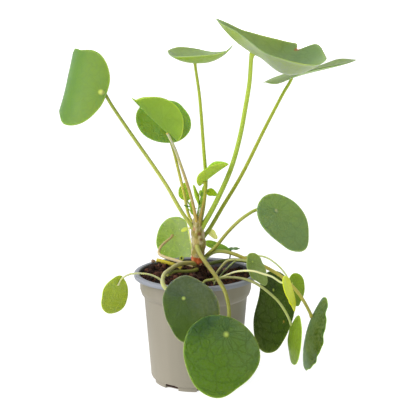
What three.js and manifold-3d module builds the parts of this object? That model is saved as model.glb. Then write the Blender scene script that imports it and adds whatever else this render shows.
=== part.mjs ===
// A potted pilea: a thin plastic nursery pot, its soil, a short woody trunk with a crown of young
// leaves, and round leaves that each hang or stand on one long petiole.
// Millimetres, +Z up, origin in the middle of the pot's flat base.

import * as THREE from 'three';
import { mergeVertices } from 'three/addons/utils/BufferGeometryUtils.js';
import Module from 'manifold-3d';

// Driving dimensions ------------------------------------------------------------------------

const CLEARANCE = 0.3; // between pieces that touch

const POT = {
  height: 108,
  rimRadius: 60,
  lipInnerRadius: 55,
  lipHeight: 4.5,
  collarRadius: 54,
  collarBottom: 92,
  shoulderRadius: 50.2,
  shoulderHeight: 85,
  heelRadius: 44,
  heelHeight: 5,
  footRadius: 42,
  plateRadius: 37,
  wall: 1.6,
  floor: 1.5,
  segments: 48,
};

const NOTCH = { count: 8, firstAngle: 12, width: 15, height: 5.5, roundness: 4 };

const SOIL = {
  level: 98.5,
  mound: { x: -37, y: 27, height: 10.5, spread: 19 },
  clods: 1.1,
  rings: 6,
  segments: 32,
  seed: 7,
};

// Centre of each trunk section and its radius, from inside the soil up to the growing tip.
const TRUNK = [
  { at: [8, 0, 84], radius: 8.5 },
  { at: [7.5, 0, 96], radius: 9.6 },
  { at: [6, 0, 106], radius: 8.8 },
  { at: [4.6, 0, 112], radius: 7.6 },
  { at: [3.2, 0, 119], radius: 7.4 },
  { at: [3, 0, 126], radius: 6.2 },
  { at: [2.9, 0, 133], radius: 6.3 },
  { at: [2.6, 0, 139], radius: 5.4 },
  { at: [2, 0, 146], radius: 5.5 },
  { at: [1.8, 0, 152], radius: 4.1 },
  { at: [1.4, 0, 158], radius: 2.8 },
];
const BARK = { sides: 14, ribs: 3, ribDepth: 0.05 }; // the trunk's section isn't quite round

const BLADE = { thickness: 0.9, rings: [0.4, 0.74, 1], segments: 24, crease: 3, cupSpan: 30 };
const PETIOLE = { sides: 8, steps: 17, approach: 2.5 };

// Each leaf, in the order the stem put them out from the top down.
//   spot    where the petiole meets the blade
//   face    azimuth and elevation of the way its upper side looks, in degrees; azimuth 0 is -Y
//   turn    turns the tip away from straight down the slope, in degrees
//   heart   distance from the spot to the middle of the blade, towards the tip
//   reach   margin's distance from the middle, every 45 degrees from the tip on
//   cup     rise of the blade 30 mm from its middle, across and along
//   fold    how far each half is folded up along the midrib, in degrees
//   route   the petiole's way up to the spot, with its radius at each end as girth
const LEAVES = [
  {
    name: 'upper_left', spot: [-86, -20, 283], face: [-48, 15], turn: 94, heart: 30,
    reach: [37, 39, 36, 40, 34, 36, 38, 36], cup: [1, -10],
    route: [[1, -1, 148], [-4, -4, 160], [-17, -6, 177], [-37, -10, 207], [-63, -16, 249], [-77, -19, 271]],
    girth: [1.9, 1.3], colour: 0x84ac55, stalk: 0x8da046,
  },
  {
    name: 'folded_young', spot: [-26, -6, 244], face: [102, 46], turn: 181, heart: 18,
    reach: [26, 24, 27, 30, 32, 29, 28, 25], cup: [3, 0], fold: 56,
    route: [[1.5, -1, 154], [0, -4, 168], [-3, -6, 185], [-14, -8, 202], [-21, -7, 228]],
    girth: [1.4, 1.1], colour: 0x8db63f, stalk: 0xa9855a,
  },
  {
    name: 'round_back', spot: [-29, 22, 255], face: [8, 35], turn: 0, heart: 2,
    reach: [24, 26, 29, 25, 22, 22, 23, 25], cup: [2, -1],
    route: [[1.5, 2, 150], [-5, 4, 160], [-9, 6, 174], [-15, 11, 199], [-22, 17, 224], [-28, 23, 243]],
    girth: [1.3, 1.1], colour: 0x6a9a2c, stalk: 0x9db452,
  },
  {
    name: 'top_centre', spot: [0, 0, 310], face: [2, 84], turn: -95, heart: 3,
    reach: [33, 31, 32, 32, 29, 32, 30, 26], cup: [9, 9],
    route: [[3.5, 1.5, 154], [6.5, 3, 165], [9, 3, 183], [10, 3, 196], [8, 2, 226], [4, 1, 278]],
    girth: [1.7, 1.1], colour: 0x8cac62, stalk: 0xb5c95a,
  },
  {
    name: 'top_large', spot: [54, 0, 318], face: [70, 64], turn: -13, heart: 11,
    reach: [53, 50, 48, 45, 53, 43, 43, 61], cup: [7.5, 5], notch: { angle: 305, depth: 0.14, width: 7 },
    segments: 36,
    route: [[4, 0, 149], [11, 0, 160], [20, 0, 177], [34, 1, 209], [42, 1, 238], [47, 1, 265], [51, 1, 291]],
    girth: [2.2, 1.7], colour: 0x6e9a3c, stalk: 0xa9cc45,
  },
  {
    name: 'top_right', spot: [92, 45, 289], face: [-78, 75], turn: 180, heart: 21,
    reach: [48, 44, 42, 44, 48, 44, 42, 44], cup: [1, 1.5],
    route: [[4, 1, 138], [12, 4, 147], [26, 8, 170], [44, 16, 199], [68, 30, 245], [85, 41, 276]],
    girth: [1.7, 1.3], colour: 0x7fa056, stalk: 0xa8b848,
  },
  {
    name: 'rolled_young', spot: [9, -4, 197], face: [-94, 51], turn: 194, heart: 11,
    reach: [19, 16, 13, 17, 18, 12, 13, 15], cup: [2, -2], fold: 60,
    route: [[2.5, -2, 152], [6, -5, 164], [8, -6, 176], [9, -5, 187]],
    girth: [1.1, 0.8], colour: 0x8fbf2c, stalk: 0xa9855a,
  },
  {
    name: 'right_middle', spot: [77, -5, 169], face: [38, 28], turn: -30, heart: 12,
    reach: [33, 27, 25, 31, 30, 26, 28, 30], cup: [-2, -2],
    route: [[6, -3, 121], [12, -5, 127], [24, -8, 141], [39, -10, 157], [52, -8, 167], [66, 0, 169]],
    girth: [1.5, 1.3], colour: 0x638547, stalk: 0xa8a24a,
  },
  {
    name: 'back_left', spot: [-25, 70, 128], face: [170, 15], turn: 0, heart: 4,
    reach: [26, 26, 19, 23, 24, 18, 16, 22], cup: [0, 0],
    route: [[2, 2, 113], [-8, 9, 113], [-19, 22, 113], [-33, 40, 113], [-38, 50, 114], [-36, 60, 119]],
    girth: [1.7, 1.4], colour: 0x82ae4a, stalk: 0xb9a98a,
  },
  {
    name: 'left_small', spot: [-74, -22, 101], face: [-140, 20], turn: 0, heart: 11,
    reach: [23, 20, 15, 14, 22, 20, 17, 18], cup: [0, 0],
    route: [[-27, -22, 94], [-32, -22, 104], [-41, -20, 109], [-53, -20, 111], [-63, -22, 110.5],
      [-70, -25, 107]],
    girth: [0.9, 0.8], colour: 0xa6bc45, stalk: 0xe0eba8, soilRoot: true,
  },
  {
    name: 'front_dark', spot: [-10, -74, 102], face: [-6, 22], turn: 0, heart: 9,
    reach: [30, 19, 18, 26, 30, 30, 34, 33], cup: [-2, -2],
    route: [[2, -3, 117], [-5, -9, 119], [-14, -18, 120], [-23, -34, 119], [-29, -52, 117], [-29, -62, 112],
      [-22, -67, 105]],
    girth: [1.8, 1.6], colour: 0x4c6a34, stalk: 0xc8cc82,
  },
  {
    name: 'front_large', spot: [28, -92, 74], face: [4, 20], turn: 8, heart: 18,
    reach: [36, 34, 36, 39, 35, 32, 33, 31], cup: [-2, -2],
    route: [[1.5, -2, 136], [3, -11, 131], [10, -26, 123], [21, -56, 115], [28, -73, 106], [31, -80, 91],
      [30, -84, 80]],
    girth: [1.6, 1.3], colour: 0x4f7a24, stalk: 0xa5a93f,
  },
  {
    name: 'right_inner', spot: [54, -22, 123], face: [35, 25], turn: -20, heart: 6,
    reach: [20, 12, 10, 10, 14, 14, 10, 12], cup: [0, 0],
    route: [[20, -6, 93], [20.5, -6, 106], [26, -9, 115], [33, -12, 121], [41, -16, 124], [49, -19, 124]],
    girth: [1.6, 1.2], colour: 0x6fa024, stalk: 0xc9be78, soilRoot: true,
  },
  {
    name: 'right_dark', spot: [76, 8, 87], face: [52, 15], turn: 18, heart: 17,
    reach: [40, 44, 27, 28, 37, 38, 36, 34], cup: [0, 0],
    route: [[18, 7, 93], [20, 8, 106], [32, 10, 116], [49, 12, 115], [65, 14, 104], [72, 14, 93]],
    girth: [1.6, 1.4], colour: 0x2c4a14, stalk: 0x7c8a3a, soilRoot: true,
  },
  {
    name: 'yellow_narrow', spot: [84, -36, 107], face: [76, 17], turn: -7, heart: 14,
    reach: [20, 12, 14, 20, 20, 20, 18, 16], cup: [2, 0],
    route: [[14, -20, 93], [20, -20, 104], [28, -22, 109], [39, -25, 114], [54, -34, 117], [63, -36, 115],
      [72, -36, 112]],
    girth: [0.9, 0.8], colour: 0xc0d146, stalk: 0xe3e8b0, soilRoot: true,
  },
  {
    name: 'right_back', spot: [94, 0, 96], face: [50, 20], turn: 0, heart: 8,
    reach: [16, 13, 10, 10, 14, 21, 18, 14], cup: [0, 0],
    route: [[36, 24, 93], [42, 22, 109], [54, 20, 118], [68, 15, 119], [80, 9, 112], [89, 4, 102]],
    girth: [0.8, 0.7], colour: 0x6e9a1e, stalk: 0xb9d080, soilRoot: true,
  },
  {
    name: 'right_pale', spot: [91, -40, 66], face: [100, -4], turn: 21, heart: 14,
    reach: [23, 23, 24, 27, 18, 16, 18, 22], cup: [6, 5],
    route: [[5, -22, 93], [11, -23, 104], [23, -27, 109], [37, -31, 112], [48, -35, 111], [62, -38, 102],
      [77, -40, 90], [86, -41, 77]],
    girth: [1.2, 1], colour: 0x7fa638, stalk: 0xb5c96a, soilRoot: true,
  },
  {
    name: 'right_outer', spot: [113, -12, 65], face: [95, -15], turn: 6, heart: 16,
    reach: [35, 32, 31, 31, 38, 24, 24, 26], cup: [1, 5], fold: 18,
    route: [[6, 0, 119], [13, -2, 125], [20, -3, 129], [30, -3, 129], [42, -3, 126], [66, -4, 116],
      [84, -6, 104], [99, -9, 89], [108, -11, 75]],
    girth: [1.6, 1.3], colour: 0x5f8a34, stalk: 0xa9986a,
  },
  {
    name: 'behind_trunk', spot: [14, 40, 121], face: [10, 65], turn: 0, heart: 3,
    reach: [15, 15, 15, 15, 15, 15, 15, 15], cup: [1, 1],
    route: [[4, 3, 121], [8, 11, 114], [12, 22, 109], [15, 34, 110]],
    girth: [1, 0.8], colour: 0x5e9a1e, stalk: 0x9db452,
  },
];

// Young leaves of the crown, fused on short stalks to the growing tip.
const CROWN_LEAVES = [
  {
    spot: [-9, 14, 178], face: [-10, 20], turn: 180, heart: 7,
    reach: [9, 8, 7, 7, 8, 7, 7, 8], cup: [1, 1],
  },
  {
    spot: [1.5, 4, 177], face: [60, 12], turn: 170, heart: 8,
    reach: [10, 6, 4, 5, 8, 5, 4, 6], cup: [2, 0],
  },
  {
    spot: [12, 9, 183], face: [10, 48], turn: -70, heart: 4,
    reach: [7, 6, 5, 5, 6, 5, 5, 6], cup: [1, 1],
  },
  {
    spot: [-3.5, 1, 170], face: [-50, 10], turn: 175, heart: 4,
    reach: [7, 4, 3, 3, 5, 3, 3, 4], cup: [1, 0],
  },
];
const CROWN = {
  foot: [1.2, 0.8, 155],
  top: [0.5, 4.5, 168],
  forkShare: 0.6, // how far up the core the young stalks leave it
  radius: 1.2,
  stalkRadius: 0.7,
  segments: 12,
};

const SEEDLING = {
  route: [[33, 23, 92], [34, 24, 108], [34.5, 24, 124]],
  girth: [0.7, 0.6],
  steps: 4,
  leaf: {
    spot: [34.5, 24, 124], face: [0, 82], turn: -90, heart: 2,
    reach: [9, 5, 4, 5, 7, 5, 4, 5], cup: [0, 0],
  },
};

// A cut, yellowed stalk lying on the soil.
const OLD_STALK = {
  route: [[-40, 32, 110.5], [-36, 33, 109.9], [-31, 34, 108.7], [-23.5, 33.5, 106], [-17.5, 29, 103]],
  girth: [1.8, 1.9],
  steps: 10,
};

// Solids ------------------------------------------------------------------------------------

const wasm = await Module();
wasm.setup();

const radians = THREE.MathUtils.degToRad;
const vec = (xyz) => new THREE.Vector3(...xyz);

function toSolid(geometry) {
  const plain = geometry.clone();
  for (const name of Object.keys(plain.attributes)) {
    if (name !== 'position') plain.deleteAttribute(name);
  }
  const merged = mergeVertices(plain, 1e-4);
  const vertProperties = new Float32Array(merged.attributes.position.array);
  const triVerts = new Uint32Array(merged.index.array);
  return new wasm.Manifold(new wasm.Mesh({ numProp: 3, vertProperties, triVerts }));
}

function toGeometry(solid) {
  const mesh = solid.getMesh();
  const geometry = new THREE.BufferGeometry();
  geometry.setAttribute('position', new THREE.BufferAttribute(mesh.vertProperties, 3));
  geometry.setIndex(new THREE.BufferAttribute(mesh.triVerts, 1));
  return geometry;
}

function node(name, geometry, colour, roughness) {
  geometry.computeVertexNormals();
  const material = new THREE.MeshStandardMaterial({ color: colour, roughness, metalness: 0 });
  const mesh = new THREE.Mesh(geometry, material);
  mesh.name = name;
  return mesh;
}

// A closed solid between rings of points that have the same count, first ring lowest or outermost.
function skin(rings) {
  const count = rings[0].length;
  const positions = rings.flat().flatMap((p) => p.toArray());
  const index = [];
  for (let r = 0; r + 1 < rings.length; r += 1) {
    for (let k = 0; k < count; k += 1) {
      const a = r * count + k;
      const b = r * count + ((k + 1) % count);
      index.push(a, b, b + count, a, b + count, a + count);
    }
  }
  const cap = (ring, flip) => {
    const middle = positions.length / 3;
    const centre = new THREE.Vector3();
    rings[ring].forEach((p) => centre.add(p));
    positions.push(...centre.divideScalar(count).toArray());
    for (let k = 0; k < count; k += 1) {
      const a = ring * count + k;
      const b = ring * count + ((k + 1) % count);
      index.push(...(flip ? [middle, b, a] : [middle, a, b]));
    }
  };
  cap(0, true);
  cap(rings.length - 1, false);
  const geometry = new THREE.BufferGeometry();
  geometry.setAttribute('position', new THREE.Float32BufferAttribute(positions, 3));
  geometry.setIndex(index);
  return geometry;
}

// Blade -------------------------------------------------------------------------------------

function leafFrame(leaf) {
  const [azimuth, elevation] = leaf.face.map(radians);
  const normal = new THREE.Vector3(
    Math.sin(azimuth) * Math.cos(elevation),
    -Math.cos(azimuth) * Math.cos(elevation),
    Math.sin(elevation),
  );
  const down = new THREE.Vector3(0, 0, -1).addScaledVector(normal, normal.z).normalize();
  const left = down.clone().cross(normal);
  const turn = radians(leaf.turn);
  const tip = down.multiplyScalar(Math.cos(turn)).addScaledVector(left, Math.sin(turn));
  return { side: tip.clone().cross(normal), tip, normal };
}

function rise(leaf, x, y) {
  const [across, along] = leaf.cup;
  const fold = Math.sin(radians(leaf.fold ?? 0)) * (Math.hypot(x, BLADE.crease) - BLADE.crease);
  return across * (x / BLADE.cupSpan) ** 2 + along * (y / BLADE.cupSpan) ** 2 + fold;
}

// Point of the blade's middle surface, x across and y along from the middle of the blade.
function bladePoint(leaf, x, y) {
  const { side, tip, normal } = leafFrame(leaf);
  const lift = rise(leaf, x, y) - rise(leaf, 0, -leaf.heart);
  return vec(leaf.spot)
    .addScaledVector(side, x * Math.cos(radians(leaf.fold ?? 0)))
    .addScaledVector(tip, y + leaf.heart)
    .addScaledVector(normal, lift);
}

function bladeNormal(leaf, x, y) {
  const step = 0.5;
  const across = bladePoint(leaf, x + step, y).sub(bladePoint(leaf, x - step, y));
  const along = bladePoint(leaf, x, y + step).sub(bladePoint(leaf, x, y - step));
  return across.cross(along).normalize();
}

// Distance of the margin from the middle: a smooth closed curve through the reaches.
function margin(leaf, angle) {
  const { reach, notch } = leaf;
  const place = (angle / (2 * Math.PI)) * reach.length;
  const whole = Math.floor(place);
  const part = place - whole;
  const [a, b, c, d] = [-1, 0, 1, 2].map((k) => reach[(whole + k + reach.length) % reach.length]);
  const bend = 2 * a - 5 * b + 4 * c - d + part * (3 * (b - c) + d - a);
  let radius = b + 0.5 * part * (c - a + part * bend);
  if (notch) {
    const away = (angle - radians(notch.angle)) / radians(notch.width);
    radius *= 1 - notch.depth * Math.exp(-(away ** 2));
  }
  return radius;
}

function bladeGeometry(leaf, segments = leaf.segments ?? BLADE.segments) {
  const places = [[0, 0]];
  for (const share of BLADE.rings) {
    for (let k = 0; k < segments; k += 1) {
      const angle = (k / segments) * 2 * Math.PI;
      const radius = share * margin(leaf, angle);
      places.push([radius * Math.sin(angle), radius * Math.cos(angle)]);
    }
  }
  const positions = [];
  for (const half of [BLADE.thickness / 2, -BLADE.thickness / 2]) {
    for (const [x, y] of places) {
      const point = bladePoint(leaf, x, y).addScaledVector(bladeNormal(leaf, x, y), half);
      positions.push(...point.toArray());
    }
  }
  const under = places.length;
  const index = [];
  const both = (a, b, c) => index.push(a, b, c, under + a, under + c, under + b);
  for (let k = 0; k < segments; k += 1) {
    const next = (k + 1) % segments;
    both(0, 1 + next, 1 + k);
    for (let ring = 0; ring + 1 < BLADE.rings.length; ring += 1) {
      const inner = 1 + ring * segments;
      const outer = inner + segments;
      both(inner + k, inner + next, outer + next);
      both(inner + k, outer + next, outer + k);
    }
    const edge = 1 + (BLADE.rings.length - 1) * segments;
    index.push(edge + k, edge + next, under + edge + next);
    index.push(edge + k, under + edge + next, under + edge + k);
  }
  const geometry = new THREE.BufferGeometry();
  geometry.setAttribute('position', new THREE.Float32BufferAttribute(positions, 3));
  geometry.setIndex(index);
  return geometry;
}

// Petiole -----------------------------------------------------------------------------------

// A round stalk along a smooth curve, its radius changing evenly from one end to the other.
function stalkGeometry(points, girth, grow = 0, steps = PETIOLE.steps) {
  const curve = new THREE.CatmullRomCurve3(points);
  const section = new THREE.Shape();
  section.absarc(0, 0, 1, 0, 2 * Math.PI);
  const geometry = new THREE.ExtrudeGeometry(section, {
    steps,
    curveSegments: PETIOLE.sides / 2,
    bevelEnabled: false,
    extrudePath: curve,
  });
  const centres = curve.getSpacedPoints(steps);
  const position = geometry.attributes.position;
  const corner = new THREE.Vector3();
  for (let k = 0; k < position.count; k += 1) {
    corner.fromBufferAttribute(position, k);
    let nearest = 0;
    centres.forEach((centre, j) => {
      if (corner.distanceTo(centre) < corner.distanceTo(centres[nearest])) nearest = j;
    });
    const radius = THREE.MathUtils.lerp(girth[0], girth[1], nearest / steps) + grow;
    corner.sub(centres[nearest]).multiplyScalar(radius).add(centres[nearest]);
    position.setXYZ(k, corner.x, corner.y, corner.z);
  }
  return geometry;
}

// The petiole ends square to the blade's underside, just clear of it.
function petiolePoints(leaf) {
  const under = bladeNormal(leaf, 0, -leaf.heart).negate();
  const seat = BLADE.thickness / 2 + CLEARANCE;
  const end = vec(leaf.spot).addScaledVector(under, seat);
  const before = vec(leaf.spot).addScaledVector(under, seat + PETIOLE.approach);
  return [...leaf.route.map(vec), before, end];
}

// Trunk -------------------------------------------------------------------------------------

function trunkGeometry(grow = 0) {
  const rings = TRUNK.map(({ at, radius }, level) => {
    const ring = [];
    for (let k = 0; k < BARK.sides; k += 1) {
      const angle = ((k + (level % 2) / 2) / BARK.sides) * 2 * Math.PI;
      const rib = Math.sin(BARK.ribs * angle + 2 * level);
      const reach = radius * (1 + BARK.ribDepth * rib) + grow;
      const outward = new THREE.Vector3(Math.cos(angle), Math.sin(angle), 0);
      ring.push(vec(at).addScaledVector(outward, reach));
    }
    return ring;
  });
  rings[0].forEach((p) => p.setZ(p.z - grow));
  rings.at(-1).forEach((p) => p.setZ(p.z + grow));
  return skin(rings);
}

// Pot ---------------------------------------------------------------------------------------

function potWall() {
  const { height, lipHeight, collarBottom, shoulderHeight, heelHeight, wall, floor } = POT;
  const profile = [
    [0, 0],
    [POT.footRadius, 0],
    [POT.footRadius + 0.4, heelHeight - 1],
    [POT.heelRadius, heelHeight],
    [POT.shoulderRadius, shoulderHeight],
    [POT.shoulderRadius + 2.2, shoulderHeight + 2],
    [POT.collarRadius, collarBottom],
    [POT.collarRadius, height - lipHeight],
    [POT.rimRadius - 0.7, height - lipHeight],
    [POT.rimRadius, height - lipHeight + 1],
    [POT.rimRadius, height - 1.2],
    [POT.rimRadius - 1.2, height],
    [POT.lipInnerRadius + 0.8, height],
    [POT.lipInnerRadius, height - 1],
    [POT.collarRadius - wall, height - lipHeight - 1],
    [POT.collarRadius - wall, collarBottom],
    [POT.shoulderRadius - wall, shoulderHeight],
    [POT.heelRadius - wall, heelHeight],
    [POT.footRadius - wall, floor],
    [0, floor],
  ];
  const lathe = new THREE.LatheGeometry(profile.map(([r, z]) => new THREE.Vector2(r, z)), POT.segments);
  return toSolid(lathe.rotateX(Math.PI / 2));
}

// One drainage notch: an arch through the foot of the wall and the rim of the base plate.
function notchCutter(angle) {
  const half = NOTCH.width / 2;
  const below = -1;
  const arch = new THREE.Shape();
  arch.moveTo(-half, below);
  arch.lineTo(half, below);
  arch.lineTo(half, NOTCH.height - NOTCH.roundness);
  arch.quadraticCurveTo(half, NOTCH.height, half - NOTCH.roundness, NOTCH.height);
  arch.lineTo(NOTCH.roundness - half, NOTCH.height);
  arch.quadraticCurveTo(-half, NOTCH.height, -half, NOTCH.height - NOTCH.roundness);
  const depth = POT.rimRadius - POT.plateRadius;
  const cutter = new THREE.ExtrudeGeometry(arch, { depth, bevelEnabled: false, curveSegments: 3 });
  cutter.rotateX(Math.PI / 2);
  cutter.translate(0, -POT.plateRadius, 0);
  cutter.rotateZ(radians(angle));
  return toSolid(cutter);
}

function makePot() {
  let pot = potWall();
  for (let k = 0; k < NOTCH.count; k += 1) {
    pot = pot.subtract(notchCutter(NOTCH.firstAngle + (k * 360) / NOTCH.count));
  }
  return pot;
}

// Soil --------------------------------------------------------------------------------------

function seededRandom(seed) {
  let state = seed;
  return () => {
    state = (state * 1664525 + 1013904223) % 4294967296;
    return state / 4294967296;
  };
}

function makeSoil() {
  const random = seededRandom(SOIL.seed);
  const { mound } = SOIL;
  const surface = (x, y) => {
    const away = Math.hypot(x - mound.x, y - mound.y) / mound.spread;
    return SOIL.level + mound.height * Math.exp(-(away ** 2)) + SOIL.clods * (random() - 0.5);
  };
  const ringAt = (radius, height) => {
    const ring = [];
    for (let k = 0; k < SOIL.segments; k += 1) {
      const angle = (k / SOIL.segments) * 2 * Math.PI;
      const x = radius * Math.cos(angle);
      const y = radius * Math.sin(angle);
      ring.push(new THREE.Vector3(x, y, height ?? surface(x, y)));
    }
    return ring;
  };
  const wallGap = POT.wall + 2 * CLEARANCE;
  const rings = [
    ringAt(POT.footRadius - wallGap, POT.floor + CLEARANCE),
    ringAt(POT.heelRadius - wallGap, POT.heelHeight),
    ringAt(POT.shoulderRadius - wallGap, POT.shoulderHeight),
    ringAt(POT.collarRadius - wallGap, POT.collarBottom),
  ];
  for (let k = SOIL.rings; k > 0; k -= 1) {
    rings.push(ringAt(((POT.collarRadius - wallGap) * k) / SOIL.rings));
  }
  return toSolid(skin(rings));
}

// Crown and small stalks --------------------------------------------------------------------

const trunkSpace = toSolid(trunkGeometry(CLEARANCE));

// Each young stalk leaves the core at the fork and bends up into its leaf.
function makeCrown() {
  const foot = vec(CROWN.foot);
  const top = vec(CROWN.top);
  const fork = foot.clone().lerp(top, CROWN.forkShare);
  const girth = [CROWN.stalkRadius, CROWN.stalkRadius];
  let crown = toSolid(stalkGeometry([foot, top], [CROWN.radius, CROWN.radius], 0, 2));
  for (const leaf of CROWN_LEAVES) {
    const spot = vec(leaf.spot);
    const bend = fork.clone().lerp(spot, 0.5).setZ(THREE.MathUtils.lerp(fork.z, spot.z, 0.6));
    const stalk = toSolid(stalkGeometry([fork, bend, spot], girth, 0, 4));
    crown = crown.add(stalk).add(toSolid(bladeGeometry(leaf, CROWN.segments)));
  }
  return crown.subtract(trunkSpace);
}

function smallStalk({ route, girth, steps }, grow = 0) {
  return toSolid(stalkGeometry(route.map(vec), girth, grow, steps));
}

// Assembly ----------------------------------------------------------------------------------

const plant = new THREE.Group();

let soil = makeSoil().subtract(trunkSpace);
soil = soil.subtract(smallStalk(SEEDLING, CLEARANCE));
soil = soil.subtract(smallStalk(OLD_STALK, CLEARANCE));
for (const leaf of LEAVES.filter(({ soilRoot }) => soilRoot)) {
  soil = soil.subtract(toSolid(stalkGeometry(petiolePoints(leaf), leaf.girth, CLEARANCE)));
}

plant.add(node('pot', toGeometry(makePot()), 0xb3aa96, 0.6));
plant.add(node('soil', toGeometry(soil), 0x3a2420, 0.95));
plant.add(node('trunk', trunkGeometry(), 0x9a8a5a, 0.8));
plant.add(node('crown', toGeometry(makeCrown()), 0x6fa63a, 0.5));

for (const leaf of LEAVES) {
  let petiole = toSolid(stalkGeometry(petiolePoints(leaf), leaf.girth));
  if (!leaf.soilRoot) petiole = petiole.subtract(trunkSpace);
  plant.add(node(`petiole_${leaf.name}`, toGeometry(petiole), leaf.stalk, 0.5));
  plant.add(node(`blade_${leaf.name}`, bladeGeometry(leaf), leaf.colour, 0.4));
}

const seedling = smallStalk(SEEDLING).add(toSolid(bladeGeometry(SEEDLING.leaf, CROWN.segments)));
plant.add(node('seedling', toGeometry(seedling), 0x4c7a2a, 0.5));
plant.add(node('old_stalk', toGeometry(smallStalk(OLD_STALK)), 0xcfc23e, 0.6));

export default plant;
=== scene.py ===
# A potted pilea: a thin nursery pot, peaty soil, a short trunk with a crown of young leaves, and
# round leaves on long petioles. Lengths are in millimetres and become metres in each mesh.

import math
import random

import bpy
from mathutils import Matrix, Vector, noise


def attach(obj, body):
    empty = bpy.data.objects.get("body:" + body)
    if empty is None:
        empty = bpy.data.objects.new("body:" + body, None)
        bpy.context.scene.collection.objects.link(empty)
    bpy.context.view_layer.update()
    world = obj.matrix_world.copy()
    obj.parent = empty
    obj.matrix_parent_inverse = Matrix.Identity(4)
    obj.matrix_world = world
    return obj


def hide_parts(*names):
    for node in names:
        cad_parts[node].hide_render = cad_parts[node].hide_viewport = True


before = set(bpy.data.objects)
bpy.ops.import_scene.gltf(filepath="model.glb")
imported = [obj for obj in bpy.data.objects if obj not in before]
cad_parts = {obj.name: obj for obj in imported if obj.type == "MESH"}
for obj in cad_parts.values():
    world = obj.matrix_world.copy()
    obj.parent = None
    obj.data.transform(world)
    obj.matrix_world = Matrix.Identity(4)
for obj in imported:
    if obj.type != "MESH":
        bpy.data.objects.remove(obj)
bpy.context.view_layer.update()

# Camera ------------------------------------------------------------------------------------
# The picture is taken a little above the leaves, looking down on the pot by 11 degrees.

MM = 0.001
CAMERA_AT = (12, -964, 358)
CAMERA_PITCH = 11
LENS = 88.5
SENSOR = 36
FARTHEST_METRES = 50

bpy.ops.object.camera_add(
    location=[value * MM for value in CAMERA_AT],
    rotation=(math.radians(90 - CAMERA_PITCH), 0, 0),
)
camera = bpy.context.object
camera.data.lens = LENS
camera.data.sensor_width = SENSOR
camera.data.clip_end = FARTHEST_METRES
bpy.context.scene.camera = camera

# Studio ------------------------------------------------------------------------------------
# A white floor that runs back to a white wall far off, one broad light from the left and a
# pale sky that is brightest behind the plant.


def colour(code):
    """Linear colour of an sRGB hex value."""
    parts = [int(code[k : k + 2], 16) / 255 for k in (0, 2, 4)]
    linear = [c / 12.92 if c <= 0.04045 else ((c + 0.055) / 1.055) ** 2.4 for c in parts]
    return (*linear, 1.0)


def add(tree, kind, inputs=(), label=None, **settings):
    """Adds a shader node, with its inputs by socket or in order.

    Each input is a value, a hex colour, another node or one of its outputs. A Mix node mixes
    colours, from sockets 6 and 7.
    """
    node = tree.nodes.new("ShaderNode" + kind)
    node.name = label or node.name
    if kind == "Mix":
        node.data_type = "RGBA"
    for name, value in settings.items():
        setattr(node, name, value)
    if not isinstance(inputs, dict):
        inputs = dict(zip((0, 6, 7) if kind == "Mix" else range(len(inputs)), inputs))
    for socket, value in inputs.items():
        if isinstance(value, bpy.types.Node):
            value = next(output for output in value.outputs if output.enabled)
        if isinstance(value, bpy.types.NodeSocket):
            tree.links.new(value, node.inputs[socket])
        else:
            value = colour(value) if isinstance(value, str) else value
            node.inputs[socket].default_value = value
    return node


def new_material(name, inputs):
    """A material with one Principled shader, whose plain values are given by socket name."""
    material = bpy.data.materials.new(name)
    material.use_nodes = True
    tree = material.node_tree
    tree.nodes.clear()
    shader = add(tree, "BsdfPrincipled", inputs)
    add(tree, "OutputMaterial", {"Surface": shader})
    return material, tree, shader


def pick(*pieces):
    """Selects these pieces alone and makes the first one active."""
    bpy.ops.object.select_all(action="DESELECT")
    for piece in pieces:
        piece.select_set(True)
    bpy.context.view_layer.objects.active = pieces[0]


def settle(piece, material=None):
    """Puts the object's place into its mesh and gives it a material."""
    pick(piece)
    bpy.ops.object.transform_apply(location=True, rotation=True, scale=True)
    if material:
        piece.data.materials.clear()
        piece.data.materials.append(material)


def direction(azimuth, elevation):
    """Unit vector at degrees round from -Y towards +X and degrees above level."""
    azimuth, elevation = math.radians(azimuth), math.radians(elevation)
    return Vector((
        math.sin(azimuth) * math.cos(elevation),
        -math.cos(azimuth) * math.cos(elevation),
        math.sin(elevation),
    ))


STUDIO_SIDES = 96
FLOOR_METRES = 8
FLOOR_GLOW = 0.88
WALL_METRES = (7.9, 6)  # radius and height
WALL_SUNK = 0.01
SKY = {"base": 0.12, "up": 0.35, "back": 0.9}
KEY_FROM = (-62, 35)  # azimuth and elevation
KEY_ENERGY = 3.0
KEY_ANGLE = 60

bpy.ops.object.select_all(action="DESELECT")
bpy.ops.mesh.primitive_circle_add(
    vertices=STUDIO_SIDES, radius=FLOOR_METRES, fill_type="NGON"
)
floor = bpy.context.object
floor.name = "studio_floor"
paper, _, _ = new_material("white_background_paper", {
    "Base Color": "898989", "Roughness": 0.9,
    "Emission Color": "FFFFFF", "Emission Strength": FLOOR_GLOW,
})
settle(floor, paper)

bpy.ops.mesh.primitive_cylinder_add(
    vertices=STUDIO_SIDES, radius=WALL_METRES[0], depth=WALL_METRES[1],
    location=(0, 0, WALL_METRES[1] / 2 - WALL_SUNK), end_fill_type="NOTHING",
)
wall = bpy.context.object
wall.name = "studio_wall"
glow, _, _ = new_material("lit_white_wall", {
    "Base Color": "FFFFFF", "Roughness": 1.0,
    "Emission Color": "FFFFFF", "Emission Strength": 1.0,
})
settle(wall, glow)
for ray in ("diffuse", "glossy", "transmission", "shadow"):
    setattr(wall, "visible_" + ray, False)

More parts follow.
